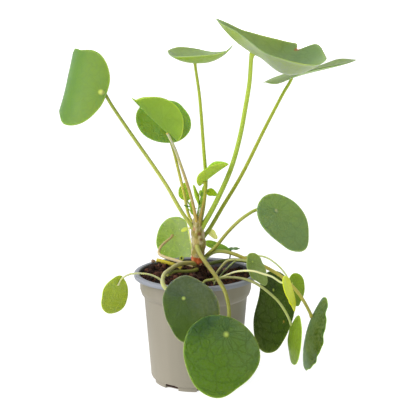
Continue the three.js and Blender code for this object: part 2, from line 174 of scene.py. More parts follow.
world = bpy.data.worlds.new("studio_sky")
bpy.context.scene.world = world
world.use_nodes = True
tree = world.node_tree
background = tree.nodes["Background"]
background.inputs["Color"].default_value = colour("FFFFFF")
way = add(tree, "SeparateXYZ", [add(tree, "TexCoord").outputs["Generated"]])
up = add(tree, "Math", [way.outputs["Z"], 0.0], operation="MAXIMUM")
back = add(tree, "Math", [way.outputs["Y"], 0.0], operation="MAXIMUM")
raised = add(tree, "Math", [up, SKY["up"], SKY["base"]], operation="MULTIPLY_ADD")
sky = add(tree, "Math", [back, SKY["back"], raised], operation="MULTIPLY_ADD")
tree.links.new(sky.outputs[0], background.inputs["Strength"])

bpy.ops.object.light_add(
    type="SUN", rotation=direction(*KEY_FROM).to_track_quat("Z", "Y").to_euler()
)
key_light = bpy.context.object
key_light.data.energy = KEY_ENERGY
key_light.data.angle = math.radians(KEY_ANGLE)

view = bpy.context.scene.view_settings
view.view_transform = "Standard"
view.look = "None"

# Pot ---------------------------------------------------------------------------------------
# A thin tapered nursery pot of grey-beige polypropylene, injection moulded: a rolled rim over a
# straight stacking collar, a shoulder, and a foot with drainage notches cut through its edge.

POT_SIDES = 144
POT_PROFILE = [  # radius and height of the outside from the foot up, then of the inside down
    (41.6, 0), (42.1, 0.6), (42.4, 4), (43.2, 4.6), (44, 5), (45.6, 26), (47.2, 46), (48.7, 66),
    (50.2, 84.6), (50.6, 85.6), (52.0, 86.8), (52.6, 87.6), (53.6, 91.2), (54, 92.2), (54.3, 102.8),
    (54.7, 103.5), (58.9, 103.5), (59.6, 103.9), (60, 104.8), (60, 106.4), (59.5, 107.4),
    (58.4, 108), (56.4, 108), (55.4, 107.6), (54.9, 106.6), (53, 102), (52.4, 92), (48.6, 84.8),
    (42.4, 5), (40.4, 1.5),
]
NOTCHES = 8
NOTCH_FIRST_ANGLE = 12
NOTCH_RADIUS = 43.5
NOTCH_SIZE = (15, 12, 5.5)  # width, depth through the foot's edge and height
NOTCH_ROUNDING = 3.2
SMOOTH_UP_TO = 32


def edit(piece):
    """Goes into edit mode on this piece alone, with all of it selected."""
    pick(piece)
    bpy.ops.object.mode_set(mode="EDIT")
    bpy.ops.mesh.select_all(action="SELECT")


def extrude_ring(radius, height, new_radius, new_height):
    """Draws the selected ring, centred on Z, out to another radius and height."""
    rise = (0, 0, (new_height - height) * MM)
    bpy.ops.mesh.extrude_region_move(TRANSFORM_OT_translate={"value": rise})
    scale = new_radius / radius
    centre = (0, 0, new_height * MM)
    bpy.ops.transform.resize(value=(scale, scale, 1), center_override=centre)


def draw_up(name, profile, sides):
    """A piece drawn up from a disc through the profile's radii and heights, left in edit mode."""
    radius, height = profile[0]
    bpy.ops.object.select_all(action="DESELECT")
    bpy.ops.mesh.primitive_circle_add(
        vertices=sides, radius=radius * MM, location=(0, 0, height * MM), fill_type="NGON"
    )
    piece = bpy.context.object
    piece.name = name
    settle(piece)
    edit(piece)
    for lower, upper in zip(profile, profile[1:]):
        extrude_ring(*lower, *upper)
    return piece


def apply_modifiers(piece):
    """Bakes all modifiers of a piece into its mesh and leaves it selected."""
    pick(piece)
    for modifier in list(piece.modifiers):
        bpy.ops.object.modifier_apply(modifier=modifier.name)


def outward(piece):
    """Turns all faces of a closed piece outward and shades it smooth."""
    edit(piece)
    bpy.ops.mesh.remove_doubles(threshold=1e-6)
    bpy.ops.mesh.normals_make_consistent(inside=False)
    bpy.ops.object.mode_set(mode="OBJECT")
    bpy.ops.object.shade_smooth()


pot = draw_up("pot_shell", POT_PROFILE, POT_SIDES)
bpy.ops.object.mode_set(mode="OBJECT")
outward(pot)

cutters = []
notch_width, notch_depth, notch_height = NOTCH_SIZE
for k in range(NOTCHES):
    turn = math.radians(NOTCH_FIRST_ANGLE + 360 * k / NOTCHES)
    bpy.ops.mesh.primitive_cube_add(size=1)
    cutter = bpy.context.object
    cutter.scale = (notch_width * MM, notch_depth * MM, 2 * notch_height * MM)
    bpy.ops.object.transform_apply(scale=True)
    edit(cutter)
    bpy.ops.mesh.bevel(offset=NOTCH_ROUNDING * MM, segments=5, affect="EDGES")
    bpy.ops.transform.translate(value=(0, -NOTCH_RADIUS * MM, 0))
    bpy.ops.transform.rotate(value=-turn, orient_axis="Z", center_override=(0, 0, 0))
    bpy.ops.object.mode_set(mode="OBJECT")
    cutters.append(cutter)
pick(*cutters)
bpy.ops.object.join()
notching = pot.modifiers.new("notches", "BOOLEAN")
notching.operation = "DIFFERENCE"
notching.solver = "EXACT"
notching.object = cutters[0]
apply_modifiers(pot)
bpy.data.objects.remove(cutters[0])
bpy.ops.object.shade_smooth_by_angle(angle=math.radians(SMOOTH_UP_TO))

# Moulded polypropylene: satin, pebbled at 0.7 mm, with faint vertical flow lines. The rim's top
# is painted cooler and paler than the side: a painted reflection of the sky on its upward faces.
plastic, tree, shader = new_material(
    "moulded_polypropylene", {"Roughness": 0.5, "IOR": 1.49, "Specular IOR Level": 0.3}
)
place = add(tree, "TexCoord").outputs["Object"]
height = add(tree, "SeparateXYZ", [place]).outputs["Z"]
flow = add(tree, "Mapping", {"Vector": place, "Scale": (90, 90, 5)})
streaks = add(tree, "TexNoise", {"Vector": flow, "Scale": 1.0, "Detail": 3})
pebble = add(tree, "TexNoise", {"Vector": place, "Scale": 1500, "Detail": 2})
body = add(tree, "Mix", [streaks, "8B8576", "958E7F"])
# painted reflection: the rim's top is turned cool grey
at_rim = add(tree, "MapRange", [height, 103.2 * MM, 104.2 * MM], interpolation_type="SMOOTHSTEP")
shell = add(tree, "Mix", [at_rim, body, "8C8F98"])
# inside, below the lip, the wall is painted dark: painted shade in the pot's hollow
flat_place = add(tree, "VectorMath", [place, (1, 1, 0)], operation="MULTIPLY")
from_axis = add(tree, "VectorMath", [flat_place], operation="LENGTH")
above_collar = add(tree, "Math", [height, 102 * MM], operation="SUBTRACT")
leaning = add(tree, "Math", [above_collar, 0.0], operation="MAXIMUM")
wall_middle = add(tree, "Math", [leaning, 0.4, 53.5 * MM], operation="MULTIPLY_ADD")
inside = add(tree, "Math", [from_axis, wall_middle], operation="LESS_THAN")
below_lip = add(tree, "MapRange", [height, 106.2 * MM, 107.2 * MM, 0.96, 0.0])
above_shoulder = add(tree, "Math", [height, 92 * MM], operation="GREATER_THAN")
low_inside = add(tree, "Math", [inside, above_shoulder], operation="MULTIPLY")
painted_inner_shade = add(tree, "Math", [low_inside, below_lip], operation="MULTIPLY")
with_inner_shade = add(tree, "Mix", [painted_inner_shade, shell, "29262A"])
tree.links.new(with_inner_shade.outputs[2], shader.inputs["Base Color"])
grain = add(tree, "Bump", {"Height": pebble, "Strength": 0.12, "Distance": 0.1 * MM})
tree.links.new(grain.outputs[0], shader.inputs["Normal"])
settle(pot, plastic)
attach(pot, "root")
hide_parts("pot")

# Soil --------------------------------------------------------------------------------------
# Damp black peat pressed into the pot, heaped towards the back left, with loose crumbs of
# brown peat and bark lying on it and clinging to the stem's foot.

SOIL_LEVEL = 98.2
SOIL_RADIUS = 52.1
SOIL_SIDES = 160
SOIL_RINGS = 34
SOIL_TIP_RADIUS = 0.3
SOIL_PROFILE = [
    (40.0, 1.8), (42.0, 5.2), (48.2, 85), (SOIL_RADIUS, 92.4), (SOIL_RADIUS, SOIL_LEVEL),
]
MOUNDS = [  # middle, height and spread of the places where the peat is heaped
    (-37, 27, 8.2, 19), (-44, -4, 5.0, 24), (-12, 44, 3.5, 16), (6, -2, 3.0, 16),
    (41, 12, 7.0, 17),
]
LUMPS = [(2.6, 3.0, 9), (1.5, 8.0, 4), (0.8, 1.0, 1.7)]  # height, layer of the noise and width
SOIL_HIGHEST = 107.6
SURFACE_DEPTH = 1
WALL_AT_SOIL = 53.0
WALL_LEANS_FROM = 102
WALL_SLOPE = 0.41
GAP_TO_WALL = 0.5


def soil_height(x, y):
    """Height of the soil's lumpy surface at a place in the pot."""
    height = SOIL_LEVEL
    for middle_x, middle_y, heap, spread in MOUNDS:
        away = math.hypot(x - middle_x, y - middle_y) / spread
        height += heap * math.exp(-away * away)
    for lump, layer, width in LUMPS:
        height += lump * noise.noise(Vector((x, y, layer)) / width)
    return height


soil_rings = [
    (max(SOIL_RADIUS * (1 - (k + 1) / SOIL_RINGS), SOIL_TIP_RADIUS), SOIL_LEVEL)
    for k in range(SOIL_RINGS)
]
soil = draw_up("soil_bed", SOIL_PROFILE + soil_rings, SOIL_SIDES)
bpy.ops.mesh.edge_collapse()
bpy.ops.object.mode_set(mode="OBJECT")
for vertex in soil.data.vertices:
    x, y, z = vertex.co / MM
    if z > SOIL_LEVEL - SURFACE_DEPTH:
        # the heaped peat fills out to the pot's wall, which leans outward
        height = min(soil_height(x, y), SOIL_HIGHEST)
        outermost = WALL_AT_SOIL + WALL_SLOPE * max(0, height - WALL_LEANS_FROM) - GAP_TO_WALL
        share = math.hypot(x, y) / SOIL_RADIUS
        widen = 1 + (outermost / SOIL_RADIUS - 1) * share**6
        vertex.co = Vector((x * widen, y * widen, height)) * MM
outward(soil)

CRUMB_SHAPES = 3
CRUMB_ROUGHNESS = 0.55
CRUMBS = 620
CRUMB_FIELD = (50, 50.5)  # half the side of the square they are thrown on, and their radius
CRUMB_SIZES = (0.7, 2.2)  # the smallest, and how much larger they get
CRUMB_STRETCH = 1.3
CRUMB_LIFT = 0.25
LYING_FLATTEST, CLINGING_FLATTEST = 0.6, 0.7
STEM_X, STEM_CLEARANCE = 7, 9
CLINGING = 90
FOOT_HEIGHTS = (100, 115)
LARGE_PIECES = [  # place, size and tone
    ((-43, 32, 110), 2.0, 1.0), ((-14, -20, 105), 1.2, 1.0), ((24, -30, 102), 1.8, 0.97),
]


def round_axis(x, radius, azimuth, height):
    """Point at a radius round an upright line at x, at degrees round from -Y towards +X."""
    angle = math.radians(azimuth)
    return Vector((x + radius * math.sin(angle), -radius * math.cos(angle), height))


def foot_of_stem(height):
    """x of the stem's middle and its radius where the peat clings to it."""
    low, high = FOOT_HEIGHTS
    share = (height - low) / (high - low)
    return 5.2 - 2.2 * share, 7.3 - 1.5 * share


def drop(shape, spot, size, flattest):
    """A crumb of one of the shapes, stretched and turned at random."""
    crumb = shape.copy()
    crumb.data = shape.data.copy()
    bpy.context.collection.objects.link(crumb)
    crumb.scale = [size * dice.uniform(flattest, CRUMB_STRETCH) * MM for _ in range(3)]
    crumb.rotation_euler = [dice.uniform(0, 6.3) for _ in range(3)]
    crumb.location = Vector(spot) * MM
    return crumb


dice = random.Random(11)
crumb_shapes = []
for k in range(CRUMB_SHAPES):
    bpy.ops.object.select_all(action="DESELECT")
    bpy.ops.mesh.primitive_ico_sphere_add(subdivisions=2, radius=1)
    shape = bpy.context.object
    for vertex in shape.data.vertices:
        dent = noise.noise(vertex.co * 1.6 + Vector((7.0 * k, 0, 0)))
        vertex.co *= 1 + CRUMB_ROUGHNESS * dent
    shape.data.attributes.new("tone", "FLOAT", "POINT")
    crumb_shapes.append(shape)
crumbs = []
half_side, field_radius = CRUMB_FIELD
while len(crumbs) < CRUMBS:
    x, y = dice.uniform(-half_side, half_side), dice.uniform(-half_side, half_side)
    if math.hypot(x, y) > field_radius or math.hypot(x - STEM_X, y) < STEM_CLEARANCE:
        continue
    shape = crumb_shapes[dice.randrange(CRUMB_SHAPES)]
    size = CRUMB_SIZES[0] + CRUMB_SIZES[1] * dice.random() ** 3
    spot = (x, y, soil_height(x, y) + CRUMB_LIFT * size)
    crumbs.append((drop(shape, spot, size, LYING_FLATTEST), dice.random()))
clinging = []
for k in range(CLINGING):
    height, azimuth = dice.uniform(*FOOT_HEIGHTS), dice.uniform(-180, 180)
    spot = round_axis(*foot_of_stem(height), azimuth, height)
    shape = crumb_shapes[k % CRUMB_SHAPES]
    clinging.append((shape, spot, dice.uniform(0.6, 1.3), dice.uniform(0, 0.6)))
large = [(crumb_shapes[0], *piece) for piece in LARGE_PIECES]
for shape, spot, size, tone in clinging + large:
    crumbs.append((drop(shape, spot, size, CLINGING_FLATTEST), tone))
for crumb, tone in crumbs:
    tones = [tone] * len(crumb.data.vertices)
    crumb.data.attributes["tone"].data.foreach_set("value", tones)
pick(*(crumb for crumb, _ in crumbs))
bpy.ops.object.transform_apply(location=True, rotation=True, scale=True)
bpy.ops.object.join()
loose_peat = bpy.context.object
loose_peat.name = "soil_crumbs"
for shape in crumb_shapes:
    bpy.data.objects.remove(shape)

# Peat: dull and almost black where damp, brown in dry patches of 6 mm, with reddish fibres.
peat, tree, shader = new_material("damp_peat", {"Roughness": 0.95, "Specular IOR Level": 0.2})
place = add(tree, "TexCoord").outputs["Object"]
patches = add(tree, "TexNoise", {"Vector": place, "Scale": 160, "Detail": 4, "Roughness": 0.7})
fibres = add(tree, "TexNoise", {"Vector": place, "Scale": 620, "Detail": 3})
dry = add(tree, "MapRange", [patches, 0.46, 0.68])
red = add(tree, "MapRange", [fibres, 0.56, 0.72])
ground = add(tree, "Mix", [dry, "1E1310", "4A2E22"])
flecked = add(tree, "Mix", [red, ground, "7A4A32"])
tree.links.new(flecked.outputs[2], shader.inputs["Base Color"])
rough = add(tree, "Bump", {"Height": fibres, "Strength": 0.7, "Distance": 0.6 * MM})
tree.links.new(rough.outputs[0], shader.inputs["Normal"])
settle(soil, peat)

# Loose crumbs: from black peat to dry red-brown bark, each of one tone, speckled at 1 mm.
crumb_peat, tree, shader = new_material(
    "loose_peat", {"Roughness": 0.9, "Specular IOR Level": 0.25}
)
tone = add(tree, "Attribute", attribute_name="tone").outputs["Fac"]
place = add(tree, "TexCoord").outputs["Object"]
speckle = add(tree, "TexNoise", {"Vector": place, "Scale": 900, "Detail": 3})
brown = add(tree, "MapRange", [tone, 0.25, 0.95])
pale = add(tree, "MapRange", [tone, 0.93, 1.0])
black_to_brown = add(tree, "Mix", [brown, "20130F", "7C4A34"])
with_pale = add(tree, "Mix", [pale, black_to_brown, "CFAE92"])
speckled = add(tree, "Mix", [speckle, with_pale, "2A1A15"])
tree.links.new(speckled.outputs[2], shader.inputs["Base Color"])
rough = add(tree, "Bump", {"Height": speckle, "Strength": 0.6, "Distance": 0.4 * MM})
tree.links.new(rough.outputs[0], shader.inputs["Normal"])
settle(loose_peat, crumb_peat)
bpy.ops.object.shade_smooth()

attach(soil, "root")
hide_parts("soil")
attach(loose_peat, "root")

# Trunk -------------------------------------------------------------------------------------
# A short succulent stem: dark and corky in the soil, rusty where it comes out, then olive and
# cream, swollen at each node, with the round brown scars of petioles that have dropped.

TRUNK_SIDES = 40
TRUNK = [  # x of the middle, height and radius
    (6.0, 84, 7.5), (5.6, 96, 8.0), (5.0, 102, 7.0), (4.4, 107, 6.2), (3.8, 111, 5.7),
    (2.9, 115, 5.8), (2.1, 118.5, 6.0), (2.0, 121, 6.0), (2.2, 126, 6.3), (2.4, 130, 6.8),
    (2.6, 134, 7.0), (2.6, 138, 6.6), (2.5, 142, 6.3), (2.2, 146, 6.3), (1.8, 149, 5.9),
    (1.4, 152, 5.4), (1.2, 155.5, 4.9), (1.4, 158.5, 4.3), (1.7, 161, 3.5), (2.0, 163.5, 2.4),
]
BARK_BUMPS = [(0.8, 3.4), (0.35, 1.3)]  # height and width
SCARS = [  # height, azimuth in degrees round from -Y towards +X, radius, swelling and colour
    (139, -14, 3.6, 1.1, "B5A05C"), (134, -22, 2.6, 0.8, "A87B45"), (146.5, 14, 2.8, 0.3, "7E4F2A"),
    (141, 24, 2.0, 0.2, "855A30"), (145.5, 52, 2.8, 1.3, "D9C7A6"), (151, -32, 2.4, 0.6, "C08A62"),
    (127, 40, 3.0, 0.9, "8A5F34"), (133, 62, 2.4, 0.9, "8E6436"), (126, -110, 2.6, 0.8, "93622E"),
    (136, 160, 2.8, 0.8, "93622E"), (146, -120, 2.2, 0.6, "93622E"), (150, 120, 2.0, 0.6, "93622E"),
    (120, -48, 2.4, 0.9, "D08A50"), (119, 130, 2.8, 0.9, "93622E"), (116, 22, 1.8, 0.8, "D8B488"),
    (137, 88, 2.8, 1.0, "CDBB92"), (130, 10, 2.6, 0.5, "B3A24A"),
]
SCAR_HOLLOW = 0.6
SCAR_CORE = 0.45


def trunk_centre(height):
    """x of the trunk's middle and its radius at a height."""
    for (x0, z0, r0), (x1, z1, r1) in zip(TRUNK, TRUNK[1:]):
        if height <= z1:
            share = max(0.0, (height - z0) / (z1 - z0))
            return x0 + share * (x1 - x0), r0 + share * (r1 - r0)
    return TRUNK[-1][0], TRUNK[-1][2]


def scar_place(height, azimuth):
    """Point on the bark at a height and azimuth."""
    return round_axis(*trunk_centre(height), azimuth, height)


trunk = draw_up("trunk_bark", [(radius, height) for _, height, radius in TRUNK], TRUNK_SIDES)
bpy.ops.object.mode_set(mode="OBJECT")
smoothing = trunk.modifiers.new("smooth", "SUBSURF")
smoothing.levels = smoothing.render_levels = 2
apply_modifiers(trunk)
for vertex in trunk.data.vertices:
    place = vertex.co / MM
    shift, _ = trunk_centre(place.z)
    place.x += shift
    out = Vector((place.x - shift, place.y, 0)).normalized()
    bulge = sum(bump * noise.noise(place / width) for bump, width in BARK_BUMPS)
    for height, azimuth, reach, swelling, _ in SCARS:
        away = (place - scar_place(height, azimuth)).length / reach
        hollow = SCAR_HOLLOW * math.exp(-((away / SCAR_CORE) ** 2))
        bulge += swelling * (math.exp(-away * away) - hollow)
    vertex.co = (place + out * bulge) * MM
outward(trunk)

# Cork and green rind: matt, blotched at 4 mm, rusty brown round the scars, with a cream bloom.
bark, tree, shader = new_material("pilea_rind", {"Roughness": 0.62, "Specular IOR Level": 0.35})
place = add(tree, "TexCoord").outputs["Object"]
upright = add(tree, "SeparateXYZ", [place]).outputs["Z"]
drawn_out = add(tree, "Mapping", {"Vector": place, "Scale": (1, 1, 0.5)})
blotches = add(tree, "TexNoise", {"Vector": drawn_out, "Scale": 230, "Detail": 3})
fine = add(tree, "TexNoise", {"Vector": place, "Scale": 900, "Detail": 3})
wander = add(tree, "Math", [blotches, 6 * MM, -3 * MM], operation="MULTIPLY_ADD")
level = add(tree, "Math", [upright, wander], operation="ADD")
cream = add(tree, "MapRange", [blotches, 0.42, 0.6])
rind = add(tree, "Mix", [cream, "998E3E", "CFC294"])
above_rust = add(tree, "MapRange", [level, 122.5 * MM, 124 * MM])
rust = add(tree, "Mix", [above_rust, "BE5620", rind])
above_cork = add(tree, "MapRange", [level, 115.5 * MM, 117.5 * MM])
skin = add(tree, "Mix", [above_cork, "3B1D18", rust])
for height, azimuth, reach, _, tone in SCARS:
    middle = scar_place(height, azimuth) * MM
    offset = add(tree, "VectorMath", [place, middle], operation="DISTANCE")
    edges = {1: reach * SCAR_CORE * MM, 2: reach * MM, 3: 0.85, 4: 0.0}
    on_scar = add(tree, "MapRange", {0: offset, **edges})
    skin = add(tree, "Mix", [on_scar, skin, tone])
dusted = add(tree, "MapRange", [fine, 0.35, 0.75, 0.0, 0.35])
finished = add(tree, "Mix", [dusted, skin, "6E5A30"])
tree.links.new(finished.outputs[2], shader.inputs["Base Color"])
ridged = add(tree, "Bump", {"Height": fine, "Strength": 0.5, "Distance": 0.4 * MM})
tree.links.new(ridged.outputs[0], shader.inputs["Normal"])
settle(trunk, bark)
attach(trunk, "root")
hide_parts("trunk")

# Leaf blank --------------------------------------------------------------------------------
# Every blade is grown from one flat round blank. A pilea's blade is a nearly round shield, held
# by its petiole near the middle, where the veins meet in a pale spot.

BLADE_THICKNESS = 0.8
BLADE_SIDES = 96
BLADE_RINGS = 9
CUP_SPAN = 30  # distance from the middle at which a blade has risen by its cup
CREASE = 3
SAG_PEAK = 6.75  # makes share**2 * (1 - share) reach 1
MAP_SPAN = 100.0

bpy.ops.object.select_all(action="DESELECT")
bpy.ops.mesh.primitive_circle_add(vertices=BLADE_SIDES, radius=1, fill_type="NGON")
blank = bpy.context.object
blank.name = "leaf_blank"
edit(blank)
for k in range(BLADE_RINGS - 1):
    bpy.ops.mesh.inset(thickness=1 / BLADE_RINGS)
bpy.ops.mesh.poke()
bpy.ops.object.mode_set(mode="OBJECT")


def leaf_axes(face, turn):
    """Unit vectors across the blade, towards its tip and out of its upper side."""
    out = direction(*face)
    down = (Vector((0, 0, -1)) + out * out.z).normalized()
    left = down.cross(out)
    tip = down * math.cos(math.radians(turn)) + left * math.sin(math.radians(turn))
    return tip.cross(out), tip, out


def margin(angle, reach):
    """Distance of the margin from the blade's middle: a smooth closed curve through the reaches."""
    place = angle / (2 * math.pi) * len(reach) % len(reach)
    whole = int(place)
    part = place - whole
    a, b, c, d = (reach[(whole + k) % len(reach)] for k in (-1, 0, 1, 2))
    bend = 2 * a - 5 * b + 4 * c - d + part * (3 * (b - c) + d - a)
    return b + 0.5 * part * (c - a + part * bend)


def blade_rise(x, y, cup, fold):
    """How far the blade's surface stands above its flat plane."""
    folded = math.sin(math.radians(fold)) * (math.hypot(x, CREASE) - CREASE)
    return cup[0] * (x / CUP_SPAN) ** 2 + cup[1] * (y / CUP_SPAN) ** 2 + folded


def blade(name, skins, spot, face, turn, heart, reach, cup=(0, 0), fold=0, lift=None, sags=(),
          cuts=(), ruffle=(0.3, 5, 0), scallop=(0, 1), thickness=BLADE_THICKNESS):
    """A blade shaped from the blank, with one skin above and one below.

    spot is where the petiole meets it, face the azimuth and elevation of its upper side, turn
    the angle of its tip from straight down and heart the distance from the spot to its middle.
    reach is the margin's distance from there and lift its height, at even angles from the tip
    on. sags lets the blade hang between the middle and the margin near an angle, cuts draws the
    margin in, ruffle waves it up and down and scallop in and out.
    """
    across, tip, out = leaf_axes(face, turn)
    piece = blank.copy()
    piece.data = blank.data.copy()
    piece.name = name
    bpy.context.collection.objects.link(piece)
    mesh = piece.data
    base = blade_rise(0, -heart, cup, fold)
    flat = []
    edge = []
    for vertex in mesh.vertices:
        share = min(vertex.co.length, 1)
        edge.append(share)
        angle = math.atan2(vertex.co.x, vertex.co.y) % (2 * math.pi)
        for centre, depth, width in cuts:
            away = (angle - math.radians(centre) + math.pi) % (2 * math.pi) - math.pi
            share *= 1 - depth * math.exp(-((away / math.radians(width)) ** 2))
        radius = margin(angle, reach) + scallop[0] * math.sin(scallop[1] * angle)
        x = share * radius * math.sin(angle)
        y = share * radius * math.cos(angle)
        rise = blade_rise(x, y, cup, fold) - base
        if lift:
            rise += margin(angle, lift) * share**3
        for centre, depth, power in sags:
            near = max(0, math.cos(angle - math.radians(centre))) ** power
            rise -= depth * SAG_PEAK * share**2 * (1 - share) * near
        rise += ruffle[0] * share**2 * math.sin(ruffle[1] * angle + ruffle[2])
        flat.append((x, y + heart))
        place = Vector(spot) + across * (x * math.cos(math.radians(fold)))
        vertex.co = (place + tip * (y + heart) + out * rise) * MM
    for skin in skins:
        mesh.materials.append(skin)
    leaf_map = mesh.uv_layers.new(name="leaf")
    for loop in mesh.loops:
        x, y = flat[loop.vertex_index]
        leaf_map.data[loop.index].uv = (x / MAP_SPAN, y / MAP_SPAN)
    mesh.attributes.new("edge", "FLOAT", "POINT").data.foreach_set("value", edge)
    thicken = piece.modifiers.new("thickness", "SOLIDIFY")
    thicken.thickness = thickness * MM
    thicken.offset = 0
    thicken.material_offset = 1
    smoothing = piece.modifiers.new("smooth", "SUBSURF")
    smoothing.levels = smoothing.render_levels = 1
    smoothing.use_limit_surface = False
    apply_modifiers(piece)
    bpy.ops.object.shade_smooth()
    return piece


# Leaf skin ---------------------------------------------------------------------------------
# The upper side is a smooth waxy cuticle with a soft shine, the underside duller and paler.
# Veins run out from the pale spot, branch and meet again in loops; the margin is a pale line.
# Each leaf's two colours carry its own tone and also painted light, shade and sheen.
# A scale below is one over a size in millimetres, because the leaf's map is in millimetres.

MAIN_VEINS = 9
VEIN_WIDTH = 0.5
LOOPS_AROUND = 2.3
LOOP_LENGTH = 10
NET_MESH = 4.5
SPOT_RADIUS = 1.9
LEAF_FLESH = 5

blank_skin, tree, shader = new_material("blank_leaf_skin", {
    "IOR": 1.45, "Subsurface Weight": 1.0, "Subsurface Radius": (1.0, 1.0, 0.3),
    "Subsurface Scale": LEAF_FLESH * MM,
})
shader.name = "skin"
flat = add(tree, "UVMap", uv_map="leaf")
place = add(tree, "VectorMath", {0: flat, 3: MAP_SPAN}, operation="SCALE")
split = add(tree, "SeparateXYZ", [place]).outputs
broad = add(tree, "TexNoise", {"Vector": place, "Scale": 1 / 16, "Detail": 2})
small = add(tree, "TexNoise", {"Vector": place, "Scale": 1 / 2.4, "Detail": 4})
# broad noise gives uneven tone; the slope toward the sweep angle is painted light and shade
painted_light_toward = add(tree, "VectorMath", [place], "painted_light_toward", operation="DOT_PRODUCT")
uneven = add(tree, "Math", [broad, 1.9, painted_light_toward], operation="MULTIPLY_ADD")
share = add(tree, "MapRange", [uneven, -0.1, 2.0], interpolation_type="SMOOTHSTEP")
tone_and_painted_light = add(tree, "Mix", [share], "tone_and_painted_light")

# main veins: distance from the nearest of the rays that leave the spot
length = add(tree, "VectorMath", [place], operation="LENGTH")
bearing = add(tree, "Math", [split["X"], split["Y"]], operation="ARCTAN2")
sway = add(tree, "TexNoise", {"Vector": place, "Scale": 1 / 20, "Detail": 1})
swayed = add(tree, "Math", [sway, 1.2, bearing], operation="MULTIPLY_ADD")
rays = add(tree, "Math", [swayed, MAIN_VEINS / 2], operation="MULTIPLY")
wave = add(tree, "Math", [rays], operation="SINE")
near_ray = add(tree, "Math", [wave], operation="ABSOLUTE")
distance = add(tree, "Math", [near_ray, length], operation="MULTIPLY")
main = add(
    tree, "MapRange", {0: distance, 1: VEIN_WIDTH, 2: VEIN_WIDTH * 5, 4: 0.0}, "main",
    interpolation_type="SMOOTHSTEP",
)
fading = add(tree, "MapRange", [length, 4.0, 42.0, 1.0, 0.25])
main_faded = add(tree, "Math", [main, fading], operation="MULTIPLY")

# loops between them: cells laid out round the spot
toward_rim = add(tree, "VectorMath", [place], operation="NORMALIZE")
ring = add(tree, "VectorMath", {0: toward_rim, 3: LOOPS_AROUND}, operation="SCALE")
reached = add(tree, "Math", [length, LOOP_LENGTH], operation="DIVIDE")
step_out = add(tree, "CombineXYZ", {2: reached})
polar = add(tree, "VectorMath", [ring, step_out], operation="ADD")
wobble = add(tree, "TexNoise", {"Vector": place, "Scale": 1 / 8, "Detail": 3}).outputs["Color"]
wandered = add(tree, "VectorMath", [wobble, (0.9, 0.9, 0.9), polar], operation="MULTIPLY_ADD")
loops = add(tree, "TexVoronoi", {"Vector": wandered, "Scale": 1.0}, feature="DISTANCE_TO_EDGE")
looping = add(
    tree, "MapRange", {0: loops, 1: 0.0, 2: 0.14, 4: 0.0}, "loops",
    interpolation_type="SMOOTHSTEP",
)

# the fine net in the loops
bent = add(tree, "VectorMath", [wobble, (5, 5, 0), place], operation="MULTIPLY_ADD")
cells = add(
    tree, "TexVoronoi", {"Vector": bent, "Scale": 1 / NET_MESH},
    feature="DISTANCE_TO_EDGE", voronoi_dimensions="2D",
)
netting = add(
    tree, "MapRange", {0: cells, 1: 0.0, 2: 0.2, 4: 0.0}, "net", interpolation_type="SMOOTHSTEP"
)
coarse = add(tree, "Math", [main_faded, looping], operation="MAXIMUM")
lines = add(tree, "Math", [coarse, netting], operation="MAXIMUM")
veined = add(tree, "Mix", [lines, tone_and_painted_light], "vein")

# fine mottling, pale flecks, the margin, one dead patch and the spot
mottle = add(tree, "MapRange", [small, 0.35, 0.65, 0.0, 0.4])
mottled = add(tree, "Mix", [mottle, veined], "mottle")
flecks = add(tree, "TexNoise", {"Vector": place, "Scale": 1 / 2.2, "Detail": 1})
on_fleck = add(tree, "MapRange", [flecks, 0.68, 0.76, 0.0], "specks")
flecked = add(tree, "Mix", [on_fleck, mottled, "E9EEDC"])
outwards = add(tree, "Attribute", attribute_name="edge").outputs["Fac"]
at_rim = add(tree, "MapRange", [outwards, 0.955, 0.99, 0.0], "rim_share")
rimmed = add(tree, "Mix", [at_rim, flecked], "rim")
from_blemish = add(tree, "VectorMath", [place], "blemish_at", operation="DISTANCE")
ragged = add(tree, "Math", [small, 1.6, from_blemish], operation="MULTIPLY_ADD")
on_blemish = add(tree, "MapRange", {0: ragged, 4: 0.0}, "blemish_share")
blemished = add(tree, "Mix", [on_blemish, rimmed], "blemish")
on_spot = add(
    tree, "MapRange", {0: length, 3: 0.9, 4: 0.0}, "spot_share", interpolation_type="SMOOTHSTEP"
)
spotted = add(tree, "Mix", [on_spot, blemished], "spot")

sunk = add(tree, "Math", [lines], "quilt", operation="MULTIPLY")
relief = add(tree, "Math", [small, 0.25, sunk], operation="MULTIPLY_ADD")
tree.links.new(spotted.outputs[2], shader.inputs["Base Color"])
bump = add(tree, "Bump", {"Height": relief, "Strength": 0.5, "Distance": 0.7 * MM})
tree.links.new(bump.outputs[0], shader.inputs["Normal"])


